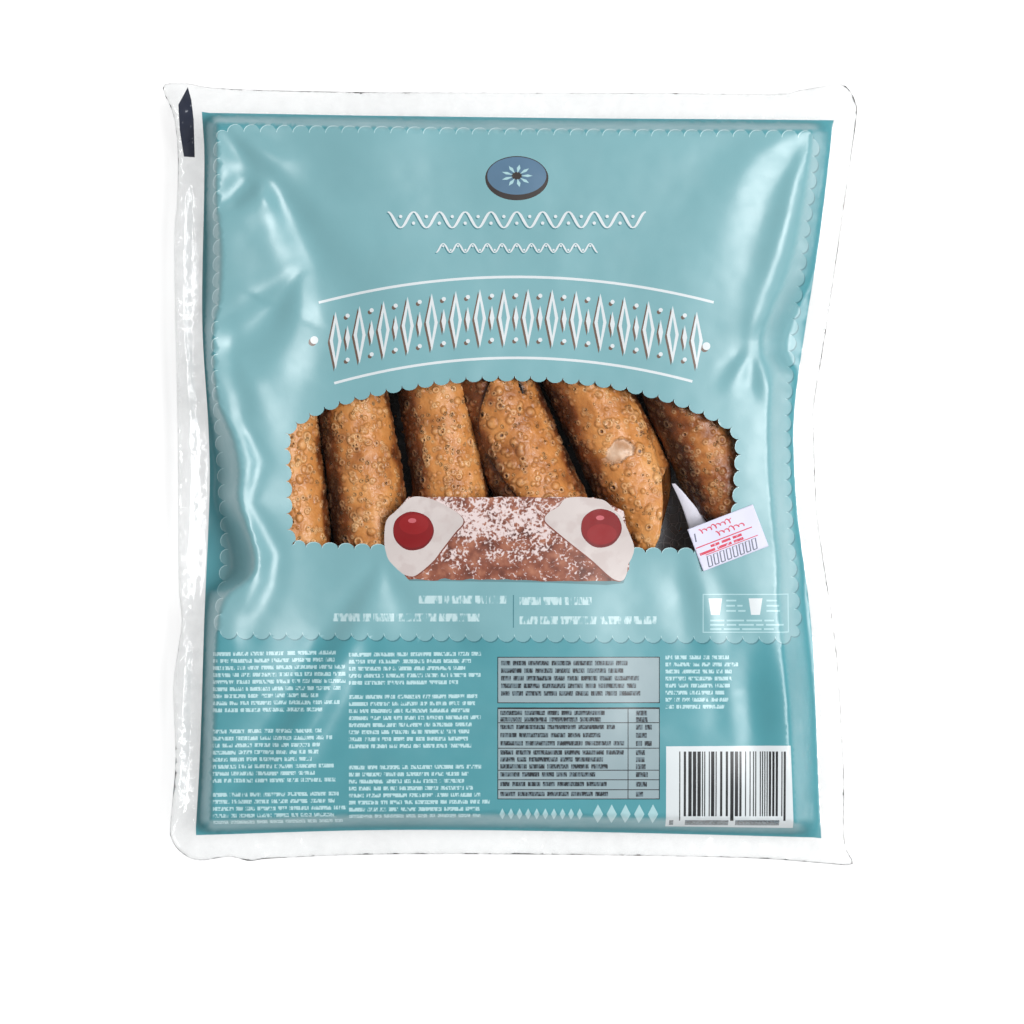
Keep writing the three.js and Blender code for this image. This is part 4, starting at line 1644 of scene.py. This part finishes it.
@dataclass
class Crumbs:
    """Crumbs of pastry and sugar on the tray, so many to a square metre of a strewn stretch."""

    area: tuple[float, float, float, float] = (-70.0, -70.0, 72.0, 70.0)
    floor: float = 1.3
    density: float = 26000.0
    seed: int = 4

    def build(self, finish: Material) -> Piece:
        """Strew the crumbs by geometry nodes and keep the plain mesh, all as one piece."""
        corners = [(x, y, self.floor) for x, y in rectangle(*self.area)]
        crumbs = plain_mesh("pastry_crumbs", np.array(corners), [[0, 1, 2, 3]], [finish])
        strewing = crumbs.modifiers.new("strewing", "NODES")
        strewing.node_group = self.tree(finish)
        for item in strewing.node_group.interface.items_tree:
            if item.in_out == "INPUT" and item.socket_type != "NodeSocketGeometry":
                strewing[item.identifier] = self.density if item.name == "Density" else self.seed
        return applied(crumbs)

    def tree(self, finish: Material) -> bpy.types.NodeTree:
        """Node group that strews uneven crumbs over a face."""
        tree = bpy.data.node_groups.new("strewn_crumbs", "GeometryNodeTree")
        for name, way, kind in (
            ("Ground", "INPUT", "Geometry"), ("Density", "INPUT", "Float"), ("Seed", "INPUT", "Int"),
            ("Crumbs", "OUTPUT", "Geometry"),
        ):  # fmt: skip
            tree.interface.new_socket(name, in_out=way, socket_type="NodeSocket" + kind)
        n = Nodes(tree)
        given = n.add("NodeGroupInput").outputs
        ground, density, seed = (Wire(n, given[name]) for name in ("Ground", "Density", "Seed"))
        scatter = {"Mesh": ground, "Density": density, "Seed": seed}
        points = n.wire("GeometryNodeDistributePointsOnFaces", scatter, "Points")
        noise = n.wire("ShaderNodeTexNoise", {"Scale": 900.0}, "Color")
        shift = n.wire("ShaderNodeVectorMath", {0: noise, "Scale": 0.9 * MM}, operation="SCALE")
        ball = n.wire("GeometryNodeMeshIcoSphere", {"Radius": 1.0 * MM, "Subdivisions": 2}, "Mesh")
        rough = n.wire("GeometryNodeSetPosition", {"Geometry": ball, "Offset": shift}, "Geometry")
        span = {"Seed": seed, "Min": (0.12, 0.12, 0.08), "Max": (0.48, 0.42, 0.26)}
        size = n.wire("FunctionNodeRandomValue", span, data_type="FLOAT_VECTOR")
        spin = n.wire("FunctionNodeRandomValue", {"Max": (0.5, 0.5, 6.28)}, data_type="FLOAT_VECTOR")
        strewn = {"Points": points, "Instance": rough, "Scale": size, "Rotation": spin}
        placed = n.wire("GeometryNodeInstanceOnPoints", strewn, "Instances")
        real = n.wire("GeometryNodeRealizeInstances", {"Geometry": placed}, "Geometry")
        dressed = n.wire("GeometryNodeSetMaterial", {"Geometry": real, "Material": finish}, "Geometry")
        n.add("NodeGroupOutput", {"Crumbs": dressed})
        return tree


# ---------------------------------------------------------------- studio


@dataclass(frozen=True)
class Studio:
    """Pale floor, soft lights and the camera straight above the pack.

    The camera sees a square of the floor as wide as the view side, aimed off the pack's middle.
    """

    table_glow: float = 0.75
    table_tones: Point = (0.37, 0.39)
    sky_strength: float = 0.32
    camera_height: float = 2.0
    view_side: float = 0.3016
    aim: Point = (0.0006, -0.0113)

    def build(self) -> None:
        """Add floor, lights, world and camera."""
        self.floor()
        self.softbox("key_softbox", (0.78, 0.08, 1.42), 0.72, 24.5)
        self.softbox("left_reflector", (-1.42, 0.10, 0.62), 0.7, 1.5)
        self.softbox("head_reflector", (0.10, 1.38, 0.78), 0.6, 2.5)
        self.sky()
        self.camera()
        bpy.context.scene.view_settings.view_transform = "Standard"

    def floor(self, side: float = 6000.0, gap: float = 0.02) -> None:
        """A plain pale light table, a hair under the pack."""
        n = Finish("studio_floor")
        low, high = ((tone,) * 3 for tone in self.table_tones)
        tone = n.ramp(n.noise(3.0), (0.3, low), (0.7, high))
        glow = {"Emission_Color": (1.0, 1.0, 1.0, 1.0), "Emission_Strength": self.table_glow}
        finish = n.solid(tone, Roughness=0.9, **glow)
        places = np.array([(x, y, -gap) for x, y in rectangle(-side, -side, side, side)])
        floor = plain_mesh("studio_floor", places, [[0, 1, 2, 3]], [finish])

    def softbox(self, name: str, place: tuple[float, float, float], side: float, power: float) -> None:
        """Add a square area light that looks at the pack."""
        data = bpy.data.lights.new(name, "AREA")
        data.shape, data.size, data.energy = "SQUARE", side, power
        lamp = bpy.data.objects.new(name, data)
        lamp.location = place
        lamp.rotation_euler = (-Vector(place)).to_track_quat("-Z", "Y").to_euler()
        bpy.context.scene.collection.objects.link(lamp)

    def sky(self) -> None:
        """Faint even light from all round."""
        world = bpy.data.worlds.new("studio_sky")
        world.use_nodes = True
        back = world.node_tree.nodes["Background"]
        back.inputs["Color"].default_value = (1.0, 1.0, 1.0, 1.0)
        back.inputs["Strength"].default_value = self.sky_strength
        bpy.context.scene.world = world

    def camera(self, film_width: float = 36.0) -> None:
        """Look straight down, head of the pack at the top of the picture."""
        data = bpy.data.cameras.new("overhead_camera")
        data.sensor_fit, data.sensor_width = "HORIZONTAL", film_width
        data.lens = film_width * self.camera_height / self.view_side
        data.clip_start, data.clip_end = 0.05, 20.0
        camera = bpy.data.objects.new("overhead_camera", data)
        camera.location = (*self.aim, self.camera_height)
        bpy.context.scene.collection.objects.link(camera)
        bpy.context.scene.camera = camera


def main() -> None:
    """Build every piece of the pack and report it."""
    logging.basicConfig(level=logging.INFO, format="%(message)s")
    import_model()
    shape = FilmShape()
    bag = FilmBag(shape).build()
    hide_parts("pack_bag")
    label = PriceLabel(shape).build()
    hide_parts("price_label")
    shells = ShellRows().build()
    crumbs = Crumbs().build(shells[0].data.materials[0])
    tray = Tray().build()
    strip = PaleStrip().build()
    slots = {bag: "printed_film", label: "label_paper", tray: "tray_plastic", strip: "clear_film"}
    slots |= {piece: "pastry" for piece in (*shells, crumbs)}
    for piece, slot in slots.items():
        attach(piece, "root")
        LOG.info("%s: %d faces", piece.name, len(piece.data.polygons))
    Studio().build()


if __name__ == "__main__":
    main()
